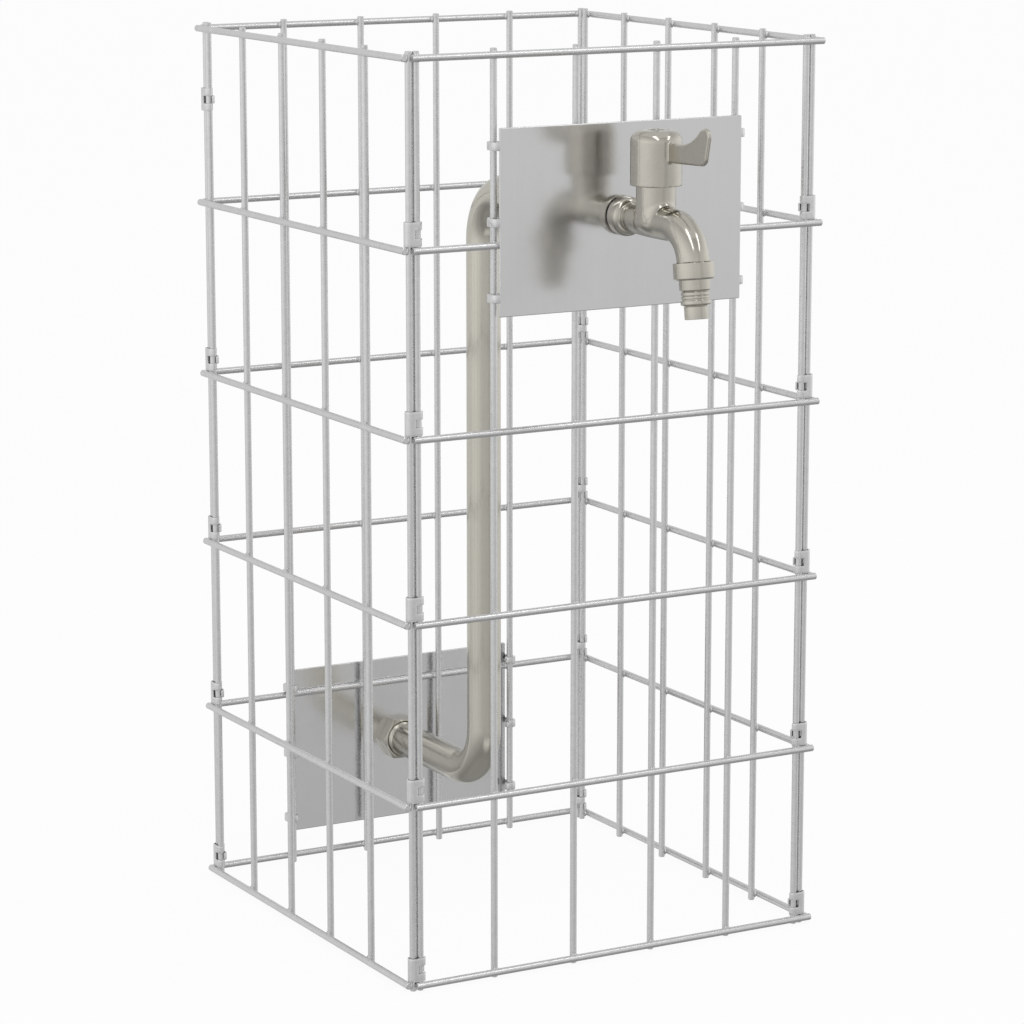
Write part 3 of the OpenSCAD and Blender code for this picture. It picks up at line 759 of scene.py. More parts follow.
def hollow_shade_and_worn_edges(net, base, colour, wear_and_shade, hollow, edge):
    """A base colour with painted shade darkening the hollows and brighter worn edges, each given as its share
    and its brightness.
    """
    # hollow darkens concave places as painted shade; edge brightens worn edges
    for mask, (share, tone) in ((wear_and_shade["Hollow"], hollow), (wear_and_shade["Worn"], edge)):
        base = net.blend(net.math("MULTIPLY", mask, share), base, shade(colour, tone))
    return base


def galvanised(name, colour, crystals, rough, spread=0.025, dull=0.03):
    """Zinc on steel: crystals of slightly different tint and polish, worn edges, and painted shade in the
    hollows.
    """
    made = finish(name)
    if made:
        net, shader = made
        spangle = use_effect(net, zinc_spangle(), Crystals=crystals, Cloud=24.0)
        marks = use_effect(net, handling_marks(), Size=60.0, Scuffs=900.0)
        wear_and_shade = use_effect(net, edge_wear_and_hollow_shade(), Grain=260.0)
        tint = net.span(spangle["Tint"], 0.3, 0.75)
        base = net.blend(tint, shade(colour, 1 - spread), shade(colour, 1 + spread))
        # Hollows darkened as painted shade, worn edges brightened
        net.feed(shader["Base Color"], hollow_shade_and_worn_edges(net, base, colour, wear_and_shade, (0.45, 0.55), (0.35, 1.2)))
        polish = net.span(spangle["Polish"], 0.25, 0.75, rough - dull, rough + dull)
        net.feed(shader["Roughness"], net.math("ADD", polish, net.math("MULTIPLY", marks["Scuff"], 0.05)))
        shader["Metallic"].default_value = 0.9
        bump(net, shader, spangle["Height"], 0.04 * MM, 0.06)
    return bpy.data.materials[name]


def satin_metal(name, colour, rough, grain, smudges, relief, streak=0.03):
    """Satin plated or brushed metal: polishing lines, smudges, worn edges, and painted shade in the hollows.
    """
    made = finish(name)
    if made:
        net, shader = made
        lines = use_effect(net, satin_grain(), Along_X=grain[0], Along_Y=grain[1], Along_Z=grain[2])
        marks = use_effect(net, handling_marks(), Size=smudges, Scuffs=800.0)
        wear_and_shade = use_effect(net, edge_wear_and_hollow_shade(), Grain=240.0)
        tint = net.span(lines["Streak"], 0.35, 0.65)
        base = net.blend(tint, shade(colour, 1 - streak), shade(colour, 1 + streak))
        base = net.blend(net.math("MULTIPLY", marks["Smudge"], 0.18), base, shade(colour, 0.9))
        # Hollows darkened as painted shade, worn edges brightened
        net.feed(shader["Base Color"], hollow_shade_and_worn_edges(net, base, colour, wear_and_shade, (0.5, 0.6), (0.4, 1.14)))
        dull = net.span(marks["Smudge"], 0.0, 1.0, rough, rough + 0.05)
        net.feed(shader["Roughness"], net.math("ADD", dull, net.math("MULTIPLY", marks["Scuff"], 0.03)))
        shader["Metallic"].default_value = 1.0
        bump(net, shader, lines["Height"], 0.03 * MM, relief)
    return bpy.data.materials[name]


def moulded(name, colour, rough, grain, depth):
    """Rubber, fibre or ceramic: a fine grain and a cloudy tint."""
    made = finish(name)
    if made:
        net, shader = made
        marks = use_effect(net, handling_marks(), Size=120.0, Scuffs=grain)
        net.feed(shader["Base Color"], net.blend(marks["Smudge"], shade(colour, 0.82), shade(colour, 1.15)))
        net.feed(shader["Roughness"], net.span(marks["Scuff"], 0.0, 1.0, rough - 0.08, rough + 0.06))
        bump(net, shader, marks["Scuff"], depth, 0.4)
    return bpy.data.materials[name]


def colours():
    """The scene's colours."""
    return bpy.context.scene.standpipe_colours


def wire_finish():
    """Mesh wire, galvanised."""
    return galvanised("Galvanised wire", colours().zinc, crystals=420.0, rough=0.27)


def clip_finish():
    """Clips, washer and screw, with fine bright zinc."""
    return galvanised("Bright zinc", colours().bright_zinc, crystals=700.0, rough=0.3)


def plate_finish():
    """Plates, brushed upwards and almost a mirror."""
    return satin_metal("Satin plate", colours().plate, rough=0.15, grain=(3000.0, 3000.0, 40.0),
                       smudges=18.0, relief=0.008, streak=0.01)


def nickel_finish():
    """Castings and nuts, plated."""
    return satin_metal("Satin nickel", colours().nickel, rough=0.13, grain=(900.0, 900.0, 900.0),
                       smudges=60.0, relief=0.02)


def pipe_finish():
    """The pipe, plated and drawn lengthwise."""
    return satin_metal("Nickel pipe", colours().pipe, rough=0.14, grain=(1500.0, 90.0, 60.0),
                       smudges=40.0, relief=0.012, streak=0.004)


def brass_finish():
    """Turned brass inside the tap."""
    return satin_metal("Turned brass", colours().brass, rough=0.24, grain=(120.0, 120.0, 4000.0),
                       smudges=80.0, relief=0.15)


def rubber_finish():
    """Seals and washers."""
    return moulded("Black rubber", colours().rubber, rough=0.6, grain=1500.0, depth=0.05 * MM)


def fibre_finish():
    """The socket's seal."""
    return moulded("Pressed fibre", colours().fibre, rough=0.75, grain=2200.0, depth=0.08 * MM)


def ceramic_finish():
    """The valve's discs."""
    return moulded("Ground ceramic", colours().ceramic, rough=0.35, grain=3000.0, depth=0.02 * MM)


# Pieces


class STANDPIPE_OT_mesh_panels(Operator):
    """Four welded mesh panels: straight wires with cut ends and weld metal at each crossing"""

    bl_idname = "standpipe.mesh_panels"
    bl_label = "Mesh panels"

    weld_flat = 0.42

    def execute(self, context):
        basket = context.scene.standpipe_basket
        r, weld = basket.wire_d / 2, basket.weld_spread
        for node, (run, first, last) in PANELS.items():
            low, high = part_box(node)
            across = 1 - run
            inner, outer = low[across] + r, high[across] - r
            if low[across] + high[across] < 0:
                inner, outer = outer, inner
            pitch = (high[2] - low[2] - 2 * basket.wire_foot) / basket.rows
            heights = [low[2] + basket.wire_foot + pitch * k for k in range(basket.rows + 1)]
            uprights = [v * MM for v in (first, *INNER_UPRIGHTS, last)]
            form = Form()

            def spot(u, v, z):
                return (u, v, z) if run == 0 else (v, u, z)

            for u in uprights:
                rod(form, spot(u, inner, low[2]), spot(u, inner, high[2]), r)
            for z in heights:
                rod(form, spot(low[run], outer, z), spot(high[run], outer, z), r)
            for u in uprights:
                for z in heights:
                    nugget(form, spot(u, (inner + outer) / 2, z), spot(weld, weld * self.weld_flat, weld))
            form.piece(node + "_wires", "stand", wire_finish(), [node])
        return {"FINISHED"}


def clip_sheet(basket):
    """One corner clip along X as points and faces: a sleeve at +X and three fingers at -X."""
    r, half, third = basket.clip_bore, basket.clip_span / 2, basket.clip_h / 3
    turns, per_third = 13, 3
    clear, edge, sharp = 0.45 * MM, 0.16 * MM, math.radians(60)

    def bend(side, start, end):
        return [(side * half + r * math.cos(a), r * math.sin(a)) for a in np.linspace(start, end, turns + 1)]

    path = [(half, -r), (0.0, -r), *bend(-1, -math.pi / 2, -3 * math.pi / 2), (0.0, r), (half, r)]
    path += bend(1, math.pi / 2, -math.pi / 2)[1:-1]
    heights = [third * k / per_third for k in range(3 * per_third + 1)]
    bm = bmesh.new()
    rows = [[bm.verts.new((x, y, z)) for x, y in path] for z in heights]
    for i in range(len(heights) - 1):
        middle = i // per_third == 1
        for j in range(len(path)):
            k = (j + 1) % len(path)
            x = (path[j][0] + path[k][0]) / 2
            y = (path[j][1] + path[k][1]) / 2
            if x < 0 and (y < clear if middle else y > -clear):
                continue
            bm.faces.new((rows[i][j], rows[i][k], rows[i + 1][k], rows[i + 1][j]))
    bmesh.ops.delete(bm, geom=[v for v in bm.verts if not v.link_faces], context="VERTS")
    bmesh.ops.recalc_face_normals(bm, faces=bm.faces)
    sleeve = [(f.normal, f.calc_center_median()) for f in bm.faces]
    if sum(n.dot(c - Vector((half, 0, c.z))) for n, c in sleeve if c.x > half) < 0:
        bmesh.ops.reverse_faces(bm, faces=bm.faces)
    bmesh.ops.solidify(bm, geom=list(bm.faces), thickness=-basket.clip_t)
    edges = [e for e in bm.edges if len(e.link_faces) == 2 and e.calc_face_angle() > sharp]
    bmesh.ops.bevel(bm, geom=edges, offset=edge, segments=2, profile=0.6, affect="EDGES")
    bm.verts.index_update()
    points = [v.co.copy() for v in bm.verts]
    faces = [tuple(v.index for v in f.verts) for f in bm.faces]
    bm.free()
    return points, faces


class STANDPIPE_OT_corner_clips(Operator):
    """Twenty corner clips, bent from sheet, with three fingers round the neighbouring wire"""

    bl_idname = "standpipe.corner_clips"
    bl_label = "Corner clips"

    def execute(self, context):
        basket = context.scene.standpipe_basket
        points, faces = clip_sheet(basket)
        depth = basket.clip_bore + basket.clip_t
        reach = basket.clip_span / 2 + depth
        top = basket.rows - 1

        def flip(way):
            return Matrix.Scale(way, 4, (1, 0, 0))

        for side in (-1, 1):
            for front in (True, False):
                node = "clips_%s_%s" % ("front" if front else "rear", "left" if side < 0 else "right")
                low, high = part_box(node)
                loose = basket.clip_slid if node == "clips_rear_left" else 0.0
                pitch = (high[2] - low[2] - basket.clip_h - loose) / top
                inset = reach if front else depth
                x = high[0] - inset if side > 0 else low[0] + inset
                y = low[1] + depth if front else high[1] - reach
                turn = flip(side) if front else flip(-side) @ Matrix.Rotation(-math.pi / 2, 4, "Z") @ flip(-1)
                form = Form()
                for k in range(basket.rows):
                    z = low[2] + pitch * k + (loose if k == top else 0.0)
                    form.add(placed(points, Matrix.Translation((x, y, z)) @ turn), faces)
                form.piece(node + "_sheet", "stand", clip_finish(), [node])
        return {"FINISHED"}


def plate_loops(basket, hole_r):
    """Loops of a plate from its face round its edge and back through its hole, as (x, z, depth) points."""
    edge, w, h, t = basket.plate_edge, basket.plate_w / 2, basket.plate_h / 2, basket.plate_t
    per_side, corner, least = 10, 0.9 * MM, 0.1 * MM
    lip, calm = 0.3 * MM, 1 * MM

    def rim(inset):
        a, b, c = w - inset, h - inset, max(corner - inset, least)
        loop = []
        for i, (sx, sz, dx, dz) in enumerate(((1, 1, -1, 0), (-1, 1, 0, -1), (-1, -1, 1, 0), (1, -1, 0, 1))):
            loop += arc(sx * (a - c), sz * (b - c), c, 90 * i, 90 * (i + 1), 4)
            step = 2 * ((a if dx else b) - c) / per_side
            x0, z0 = loop[-1]
            loop += [(x0 + dx * step * k, z0 + dz * step * k) for k in range(1, per_side)]
        return loop

    angles = [math.atan2(z, x) for x, z in rim(0.0)]

    def hole(r):
        return [(r * math.cos(a), r * math.sin(a)) for a in angles]

    flat = edge + lip
    edges = [(flat + calm, 0.0), (flat, 0.0)]
    edges += [(edge * (1 - math.sin(a)), edge * (1 - math.cos(a))) for a in np.linspace(0, math.pi / 2, 4)]
    rings = [(2 * lip + calm, t), (2 * lip, t), (lip, t), (0.0, t - lip)]
    loops = [(rim(inset), depth) for inset, depth in edges]
    loops += [(rim(inset), t - depth) for inset, depth in reversed(edges)]
    loops += [(hole(hole_r + more), depth) for more, depth in rings]
    loops += [(hole(hole_r + more), t - depth) for more, depth in reversed(rings)]
    return [[(x, z, depth) for x, z in loop] for loop, depth in loops]


def hook_loops(basket, wire_set):
    """Loops of one hook at the plate's right edge, as (x, depth, height) points."""
    t, w, high = basket.plate_t, basket.plate_w / 2, basket.hook_h / 2
    root, start, soft, sunk = 1 * MM, 0.2 * MM, 0.45 * MM, 0.8
    inner = basket.wire_d / 2 + GAP
    mid, bend = inner + t / 2, inner - start
    path = [(w - root, t / 2)]
    path += [(w + start + (bend + t / 2) * math.sin(a), t + bend - (bend + t / 2) * math.cos(a))
             for a in np.linspace(0, math.pi / 2, 7)]
    path += [(w + mid * math.cos(a), wire_set + mid * math.sin(a)) for a in np.linspace(0, math.pi, 13)]
    section = rounded([(-t / 2, -high), (t / 2, -high), (t / 2, high), (-t / 2, high)], soft, 3)
    loops = []
    for i, p in enumerate(path):
        a = np.array(path[max(i - 1, 0)])
        b = np.array(path[min(i + 1, len(path) - 1)])
        ahead = (b - a) / np.linalg.norm(b - a)
        size = 1.0 if i else sunk
        loops.append([(p[0] - ahead[1] * u * size, p[1] + ahead[0] * u * size, v * size) for u, v in section])
    return loops


class STANDPIPE_OT_plates(Operator):
    """Tap plate and inlet plate: sheet with rounded edges, a hole and six bent hooks each"""

    bl_idname = "standpipe.plates"
    bl_label = "Plates"

    def execute(self, context):
        basket = context.scene.standpipe_basket
        holes = {"tap_plate": TAP_THREAD_R + GAP, "inlet_plate": clear_bore(context.scene.standpipe_pipe)}
        for node, hole_r in holes.items():
            low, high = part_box(node)
            ahead = -1 if node == "tap_plate" else 1
            face = low[1] if ahead < 0 else high[1]
            mid = (low[2] + high[2]) / 2

            def spot(x, depth, z):
                return (x, face - ahead * depth, mid + z)

            form = Form()
            sheet = plate_loops(basket, hole_r)
            form.skin([[spot(x, d, z) for x, z, d in loop] for loop in sheet], ring=True)
            hook = hook_loops(basket, abs(face) - WIRE_PLANE)
            for side in (-1, 1):
                for step in (-basket.hook_step, 0.0, basket.hook_step):
                    form.skin([[spot(side * x, d, z + step) for x, d, z in loop] for loop in hook], caps=True)
            form.piece(node + "_sheet", "stand", plate_finish(), [node], sharp=CRISP)
        return {"FINISHED"}


class STANDPIPE_OT_riser_pipe(Operator):
    """Bent riser pipe with rolled threads at both ends and an open bore"""

    bl_idname = "standpipe.riser_pipe"
    bl_label = "Riser pipe"

    sides, bend_steps, turn_steps = 64, 25, 9
    thread_depth, run_out, run_in, shoulder = 1.044 * MM, 0.9 * MM, 0.35 * MM, 0.2 * MM
    first_cut, fullness = 0.35, 0.8
    free_thread, stub, stub_gap = 3 * MM, 12 * MM, 1.2 * MM

    def execute(self, context):
        pipe = context.scene.standpipe_pipe
        low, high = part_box("riser_pipe")
        front, rear = low[1], high[1]
        r = pipe.pipe_d / 2
        bore, crest = r - pipe.pipe_wall, r + pipe.thread_lift
        bend, y = pipe.bend_r, pipe.riser_y
        up = Vector((0, 0, 1))
        stub = rear - self.stub
        rear_threads = [(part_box("inlet_nut")[0][1] - self.free_thread, stub - self.stub_gap), (stub, rear)]
        front_threads = [(front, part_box("tap_socket")[1][1] + self.free_thread)]

        def spots(first, last, threads):
            """Places along a run, close together where it is threaded."""
            stops = {first, last}
            for a, b in threads:
                stops.update(np.linspace(a, b, max(int((b - a) / pipe.thread_pitch * self.turn_steps), 2)))
                stops.update((a - self.shoulder, b + self.shoulder))
            return sorted(s for s in stops if first <= s <= last)

        def radius(place, angle, threads):
            """The pipe's outside, or that of its thread, which runs out at both ends."""
            for a, b in threads:
                if a <= place <= b:
                    fade = min(place - a, b - place, self.run_out) / self.run_out
                    wave = 0.5 + 0.5 * math.cos(math.tau * place / pipe.thread_pitch - angle)
                    groove = self.thread_depth * min(fade + self.first_cut, 1.0) * (1 - wave ** self.fullness)
                    return crest - groove - self.run_in * (1 - fade)
            return r

        def loop(centre, normal, size):
            """A loop about a centre; size gives its radius at an angle."""
            return [centre + Vector((math.cos(a), 0, 0)) * size(a) + normal * (math.sin(a) * size(a))
                    for a in (math.tau * i / self.sides for i in range(self.sides))]

        def run(z, first, last, threads):
            """Loops of a level run, from its rear to its front."""
            return [loop(Vector((0, s, z)), up, lambda a, s=s: radius(s, a, threads))
                    for s in reversed(spots(first, last, threads))]

        outer = run(INLET_Z, y + bend, rear, rear_threads)
        inner = [loop(Vector((0, rear, INLET_Z)), up, lambda a: bore + self.shoulder)]
        inner.append(loop(Vector((0, y + bend, INLET_Z)), up, lambda a: bore))
        quarter = np.linspace(0, math.pi / 2, self.bend_steps)
        lower = (y + bend, INLET_Z + bend, -1, -math.pi / 2 - quarter[1:])
        upper = (y - bend, TAP_Z - bend, 1, quarter)
        for mid_y, mid_z, side, angles in (lower, upper):
            for a in angles:
                centre = Vector((0, mid_y + bend * math.cos(a), mid_z + bend * math.sin(a)))
                normal = Vector((0, math.cos(a), math.sin(a))) * side
                outer.append(loop(centre, normal, lambda b: r))
                inner.append(loop(centre, normal, lambda b: bore))
        outer += run(TAP_Z, front, y - bend - 1 * MM, front_threads)
        inner.append(loop(Vector((0, front, TAP_Z)), up, lambda a: bore))
        form = Form()
        form.skin(outer + inner[::-1], ring=True)
        form.piece("riser_pipe_tube", "stand", pipe_finish(), ["riser_pipe"])
        return {"FINISHED"}


class STANDPIPE_OT_inlet_fittings(Operator):
    """Inlet nut, washer and lock nut at the rear plate"""

    bl_idname = "standpipe.inlet_fittings"
    bl_label = "Inlet fittings"

    bore_edge, washer_edge = 0.35 * MM, 0.4 * MM

    def execute(self, context):
        pipe = context.scene.standpipe_pipe
        bore = clear_bore(pipe)
        for node, toward in (("inlet_nut", -1), ("inlet_lock_nut", 1)):
            low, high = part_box(node)
            form = Form()
            place = along((0, high[1] if toward < 0 else low[1], INLET_Z), (0, toward, 0))
            hex_nut(form, place, pipe.nut_af, high[1] - low[1], bore, (False, True), self.bore_edge)
            form.piece(node + "_hexagon", "stand", nickel_finish(), [node], CRISP,
                       pipe.nut_edge)
        low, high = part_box("inlet_washer")
        form = Form()
        place = along((0, low[1], INLET_Z), (0, 1, 0))
        flat_ring(form, place, bore, high[0], high[1] - low[1], self.washer_edge)
        form.piece("inlet_washer_ring", "stand", clip_finish(), ["inlet_washer"])
        return {"FINISHED"}


class STANDPIPE_OT_tap_socket(Operator):
    """Hexagon socket behind the tap plate, with a round nose between the wires"""

    bl_idname = "standpipe.tap_socket"
    bl_label = "Tap socket"

    nose_bore, nose_r, nose_len, nose_sunk, nose_edge = 8.6 * MM, 10 * MM, 4.32 * MM, 1 * MM, 0.4 * MM
    bore_edge = 0.6 * MM

    def execute(self, context):
        pipe = context.scene.standpipe_pipe
        low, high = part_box("tap_socket")
        form = Form()
        place = along((0, low[1], TAP_Z), (0, 1, 0))
        flat_ring(form, place, self.nose_bore, self.nose_r, self.nose_len + self.nose_sunk, self.nose_edge)
        place = along((0, low[1] + self.nose_len, TAP_Z), (0, 1, 0))
        length = high[1] - low[1] - self.nose_len
        hex_nut(form, place, pipe.socket_af, length, clear_bore(pipe), (True, True), self.bore_edge)
        form.piece("tap_socket_hexagon", "stand", nickel_finish(), ["tap_socket"], CRISP,
                   pipe.nut_edge)
        return {"FINISHED"}


class STANDPIPE_OT_tap_body(Operator):
    """Cast tap body with soft fillets and a threaded outlet, and the dark ring behind its collar"""

    bl_idname = "standpipe.tap_body"
    bl_label = "Tap body"

    def execute(self, context):
        tap = context.scene.standpipe_tap
        collar, waist, barrel = tap.collar_d / 2, tap.waist_d / 2, tap.barrel_d / 2
        housing, spout = tap.housing_d / 2, tap.spout_d / 2
        valve, bend, tilt = tap.valve_reach, tap.spout_bend, tap.spout_tilt
        turn = math.pi / 2 - tilt
        bend_start = tap.spout_reach - bend * math.sin(turn)
        bend_end = (tap.spout_reach, -bend * (1 - math.cos(turn)))
        lean = (math.sin(tilt), -math.cos(tilt))
        outside, past = -6 * MM, 5 * MM
        thread_back, collar_face, collar_edge, collar_end = 13.5 * MM, 1 * MM, 0.7 * MM, 4.6 * MM
        flare, waist_ease, waist_start, waist_end, swell = 8.8 * MM, 0.3 * MM, 9.4 * MM, 12.2 * MM, 17 * MM
        dish, rim, chamber_r, chamber_floor = 4 * MM, 24 * MM, 8.75 * MM, 7 * MM
        inlet_r, outlet_r, outlet_top, outlet_end = 4.5 * MM, 5.5 * MM, -2 * MM, 9 * MM
        spout_lip, neck, neck_r = 0.3 * MM, 5.7 * MM, 8.05 * MM
        turned = [(outside, -thread_back), (TAP_THREAD_R, -thread_back), (TAP_THREAD_R, collar_face)]
        turned += arc(collar - collar_edge, collar_face + collar_edge, collar_edge, -90, 0, 4)
        turned += curve((collar, collar_end), (collar, flare), (waist + waist_ease, waist_start))
        turned += curve((waist, waist_end), (barrel, swell), (barrel, valve), 14)
        turned += [(spout, bend_start), (outside, bend_start)]
        upright = [(outside, -dish)]
        upright += curve((housing - dish, -dish), (housing, -dish), (housing, 0))
        upright += [(housing, rim), (outside, rim)]

        def outlet(way):
            """A point of the outlet's axis, some way below the end of the bend."""
            return (0, bend_end[0] + lean[0] * way, bend_end[1] + lean[1] * way)

        def spout_bar(p):
            """Signed distance from the spout's bend, cut off just below its end."""
            u, w = p[:, 1] - bend_start, p[:, 2] + bend
            angle = np.clip(np.arctan2(u, w), 0, turn)
            along_u, along_w = u - bend * np.sin(angle), w - bend * np.cos(angle)
            cut = (p[:, 1] - bend_end[0]) * lean[0] + (p[:, 2] - bend_end[1]) * lean[1] - spout_lip
            return np.maximum(np.sqrt(p[:, 0] ** 2 + along_u ** 2 + along_w ** 2) - spout, cut)

        def field(p):
            """Signed distance from the casting, with its chamber and water ways cut out."""
            x, s, z = p.T
            main = np.minimum(outline_distance(np.hypot(x, z), s, turned), spout_bar(p))
            body = soft_union(main, outline_distance(np.hypot(x, s - valve), z, upright), tap.fillet)
            body = np.minimum(body, bar_distance(p, outlet(0), outlet(neck), neck_r))
            chamber = bar_distance(p, (0, valve, chamber_floor), (0, valve, rim + past), chamber_r)
            inlet = bar_distance(p, (0, -thread_back - past, 0), (0, valve, 0), inlet_r)
            mouth = bar_distance(p, outlet(outlet_top), outlet(outlet_end), outlet_r)
            return np.maximum(body, -np.minimum(np.minimum(inlet, chamber), mouth))

        def world(x, s, z):
            return (x, TAP_FACE - s, TAP_Z + z)

        low = (-12 * MM, -15 * MM, -25 * MM)
        high = (12 * MM, 84 * MM, 26 * MM)
        points, faces = cast_surface(field, low, high, tap.cast_step)
        form = Form()
        form.add([world(*p) for p in points], faces)
        thread_start, thread_end = 0.1 * MM, neck - 0.05 * MM
        crest, pitch, depth, core = 8.8 * MM, 1 * MM, 0.6 * MM, 7 * MM
        place = along(world(*outlet(thread_start)), (0, -lean[0], lean[1]))
        thread_sleeve(form, place, thread_end - thread_start, crest, pitch, depth, core)
        form.piece("tap_body_casting", "stand", nickel_finish(), ["tap_body"], CAST)
        low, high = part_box("tap_gasket")
        gasket_bore, gasket_edge = 8.5 * MM, 0.45 * MM
        form = Form()
        place = along((0, high[1], TAP_Z), (0, -1, 0))
        flat_ring(form, place, gasket_bore, high[0], high[1] - low[1], gasket_edge)
        form.piece("tap_gasket_ring", "stand", rubber_finish(), ["tap_gasket"])
        return {"FINISHED"}


class STANDPIPE_OT_lever(Operator):
    """Lever: a domed cap and a thin blade cast in one, with its screw in the top"""

    bl_idname = "standpipe.lever"
    bl_label = "Lever"

    screw_down, recess_r = 3 * MM, 4 * MM

    def execute(self, context):
        tap = context.scene.standpipe_tap
        cap, low_z, top_z, edge = tap.cap_d / 2, tap.cap_low, tap.cap_top, tap.cap_round
        reach, half = tap.blade_reach, tap.blade_t / 2
        outside, past, foot_edge = -6 * MM, 5 * MM, 0.12 * MM
        dome = [(outside, low_z), (cap - foot_edge, low_z), (cap, low_z + foot_edge)]
        dome += arc(cap - edge, top_z - edge, edge, 0, 90, 14) + [(outside, top_z)]
        blade_low = low_z + 12.8 * MM
        tip_low, tip_high = blade_low + 1.2 * MM, blade_low + 21.1 * MM
        root, root_top, neck = cap - 2 * MM, blade_low + 10.5 * MM, cap + 9 * MM
        lean, low_corner, top_corner = 2.3 * MM, 5.5 * MM, 4.4 * MM
        land = reach - top_corner - 4 * MM
        bow = (neck + (land - neck) * 0.6, root_top + 0.5 * MM)
        blade = [(root, blade_low)]
        blade += arc(reach - lean - low_corner, tip_low + low_corner, low_corner, -90, -5, 8)
        blade += arc(reach - top_corner, tip_high - top_corner, top_corner, -5, 90, 8)
        blade += curve((land, tip_high - 1.2 * MM), bow, (neck, root_top), 14)
        blade += [(root, root_top)]
        round_edge, fillet = 1.1 * MM, 1.1 * MM
        hollow_r, ceiling = 10.95 * MM, 29.5 * MM
        screw_floor = top_z - self.screw_down

        def field(p):
            """Signed distance from the lever, with its hollow and the screw's recess cut out."""
            x, s, z = p.T
            q = outline_distance(s, z, blade) + round_edge
            e = np.abs(x) - half + round_edge
            b = np.minimum(np.maximum(q, e), 0) + np.hypot(np.maximum(q, 0), np.maximum(e, 0)) - round_edge
            body = soft_union(outline_distance(np.hypot(x, s), z, dome), b, fillet)
            hollow = bar_distance(p, (0, 0, low_z - past), (0, 0, ceiling), hollow_r)
            recess = bar_distance(p, (0, 0, screw_floor), (0, 0, top_z + past), self.recess_r)
            return np.maximum(body, -np.minimum(hollow, recess))

        low = (-15 * MM, -15 * MM, low_z - 1 * MM)
        high = (15 * MM, reach + 1 * MM, tip_high + 1 * MM)
        points, faces = cast_surface(field, low, high, tap.cast_step)
        face = TAP_FACE - tap.valve_reach
        form = Form()
        form.add([(x, face - s, TAP_Z + z) for x, s, z in points], faces)
        form.piece("lever_casting", "lever", nickel_finish(), ["lever_handle"], CAST)
        self.screw(along((0, face, TAP_Z + screw_floor), (0, 0, 1)))
        return {"FINISHED"}

    def screw(self, place):
        """The screw in the cap, with a hexagon socket in its head."""
        shank_r, shank, head_r, head_h = 1.9 * MM, 13 * MM, 3.6 * MM, 2.2 * MM
        drive, drive_depth, drive_edge = 1.5 * MM, 1.5 * MM, 0.15 * MM
        flank = math.cos(math.pi / 6)
        broken, soft, softer = 0.2 * MM, 0.15 * MM, 0.5 * MM
        head = [(shank_r, -shank), (shank_r, 0), (head_r - broken, 0), (head_r, 0.25 * MM)]
        head += [(head_r, head_h - softer), (head_r - soft, head_h - soft), (head_r - softer, head_h)]
        socket = [(drive + drive_edge, head_h), (drive, head_h - drive_edge), (drive, head_h - drive_depth)]
        loops = [placed(circle(r, h, 72), place) for r, h in head]
        for r, h in socket:
            loop = []
            for x, y, z in circle(r, h, 72):
                a = math.atan2(y, x) % (math.pi / 3) - math.pi / 6
                loop.append((x * flank / math.cos(a), y * flank / math.cos(a), z))
            loops.append(placed(loop, place))
        form = Form()
        form.skin(loops, caps=True)
        form.piece("handle_screw_head", "lever", clip_finish(), ["handle_screw"])


class STANDPIPE_OT_hose_end(Operator):
    """Union nut and stepped hose tail on the leaning outlet"""

    bl_idname = "standpipe.hose_end"
    bl_label = "Hose end"

    # Turned sections as (radius, way below the bend's end), in mm
    nut = (
        (9.15, 0.2), (10.8, 0.2), (10.8, 8.4), (9.9, 9.2), (8.55, 9.2), (8.55, 8.3), (9.15, 8.3),
    )
    tail = (
        (4.5, 7.1), (8.8, 7.1), (8.8, 8.1), (8.2, 8.1), (8.2, 14.4), (7.5, 15.1),
        (7.0, 15.1), (7.0, 15.5), (7.45, 15.6), (7.45, 17.2), (7.1, 17.3), (7.1, 17.6),
        (7.45, 17.7), (7.45, 18.9), (7.1, 19.0), (7.1, 19.8), (8.0, 19.9), (8.0, 21.8),
        (7.3, 22.5), (6.1, 22.6), (6.1, 23.0), (6.45, 23.1), (6.4, 29.8), (4.5, 29.8),
    )
    nut_edge, tail_edge, sides = 0.25 * MM, 0.2 * MM, 96

    def execute(self, context):
        tap = context.scene.standpipe_tap
        turn = math.pi / 2 - tap.spout_tilt
        origin = (0, TAP_FACE - tap.spout_reach, TAP_Z - tap.spout_bend * (1 - math.cos(turn)))
        place = along(origin, (0, -math.sin(tap.spout_tilt), -math.cos(tap.spout_tilt)))
        form = Form()
        lathe(form, [(r * MM, h * MM) for r, h in self.nut], place, self.nut_edge, self.sides)
        form.piece("union_nut_ring", "union", nickel_finish(), ["union_nut"], CRISP)
        form = Form()
        lathe(form, [(r * MM, h * MM) for r, h in self.tail], place, self.tail_edge, self.sides)
        form.piece("hose_tail_turned", "tail", nickel_finish(), ["hose_tail"], CRISP)
        return {"FINISHED"}


class STANDPIPE_OT_inner_parts(Operator):
    """Finishes on the pieces inside the tap, which keep their solid shapes"""

    bl_idname = "standpipe.inner_parts"
    bl_label = "Inner parts"

    def execute(self, context):
        finishes = {
            "socket_seal": fibre_finish(),
            "valve_cartridge": brass_finish(),
            "seat_seal": rubber_finish(),
            "fixed_disc": ceramic_finish(),
            "moving_disc": ceramic_finish(),
            "spindle": brass_finish(),
            "spindle_ring": rubber_finish(),
            "hose_washer": rubber_finish(),
        }
        for node, material in finishes.items():
            obj = frame["nodes"][node]
            if not obj.material_slots:
                obj.data.materials.append(material)
            for held in obj.material_slots:
                held.material = material
        return {"FINISHED"}


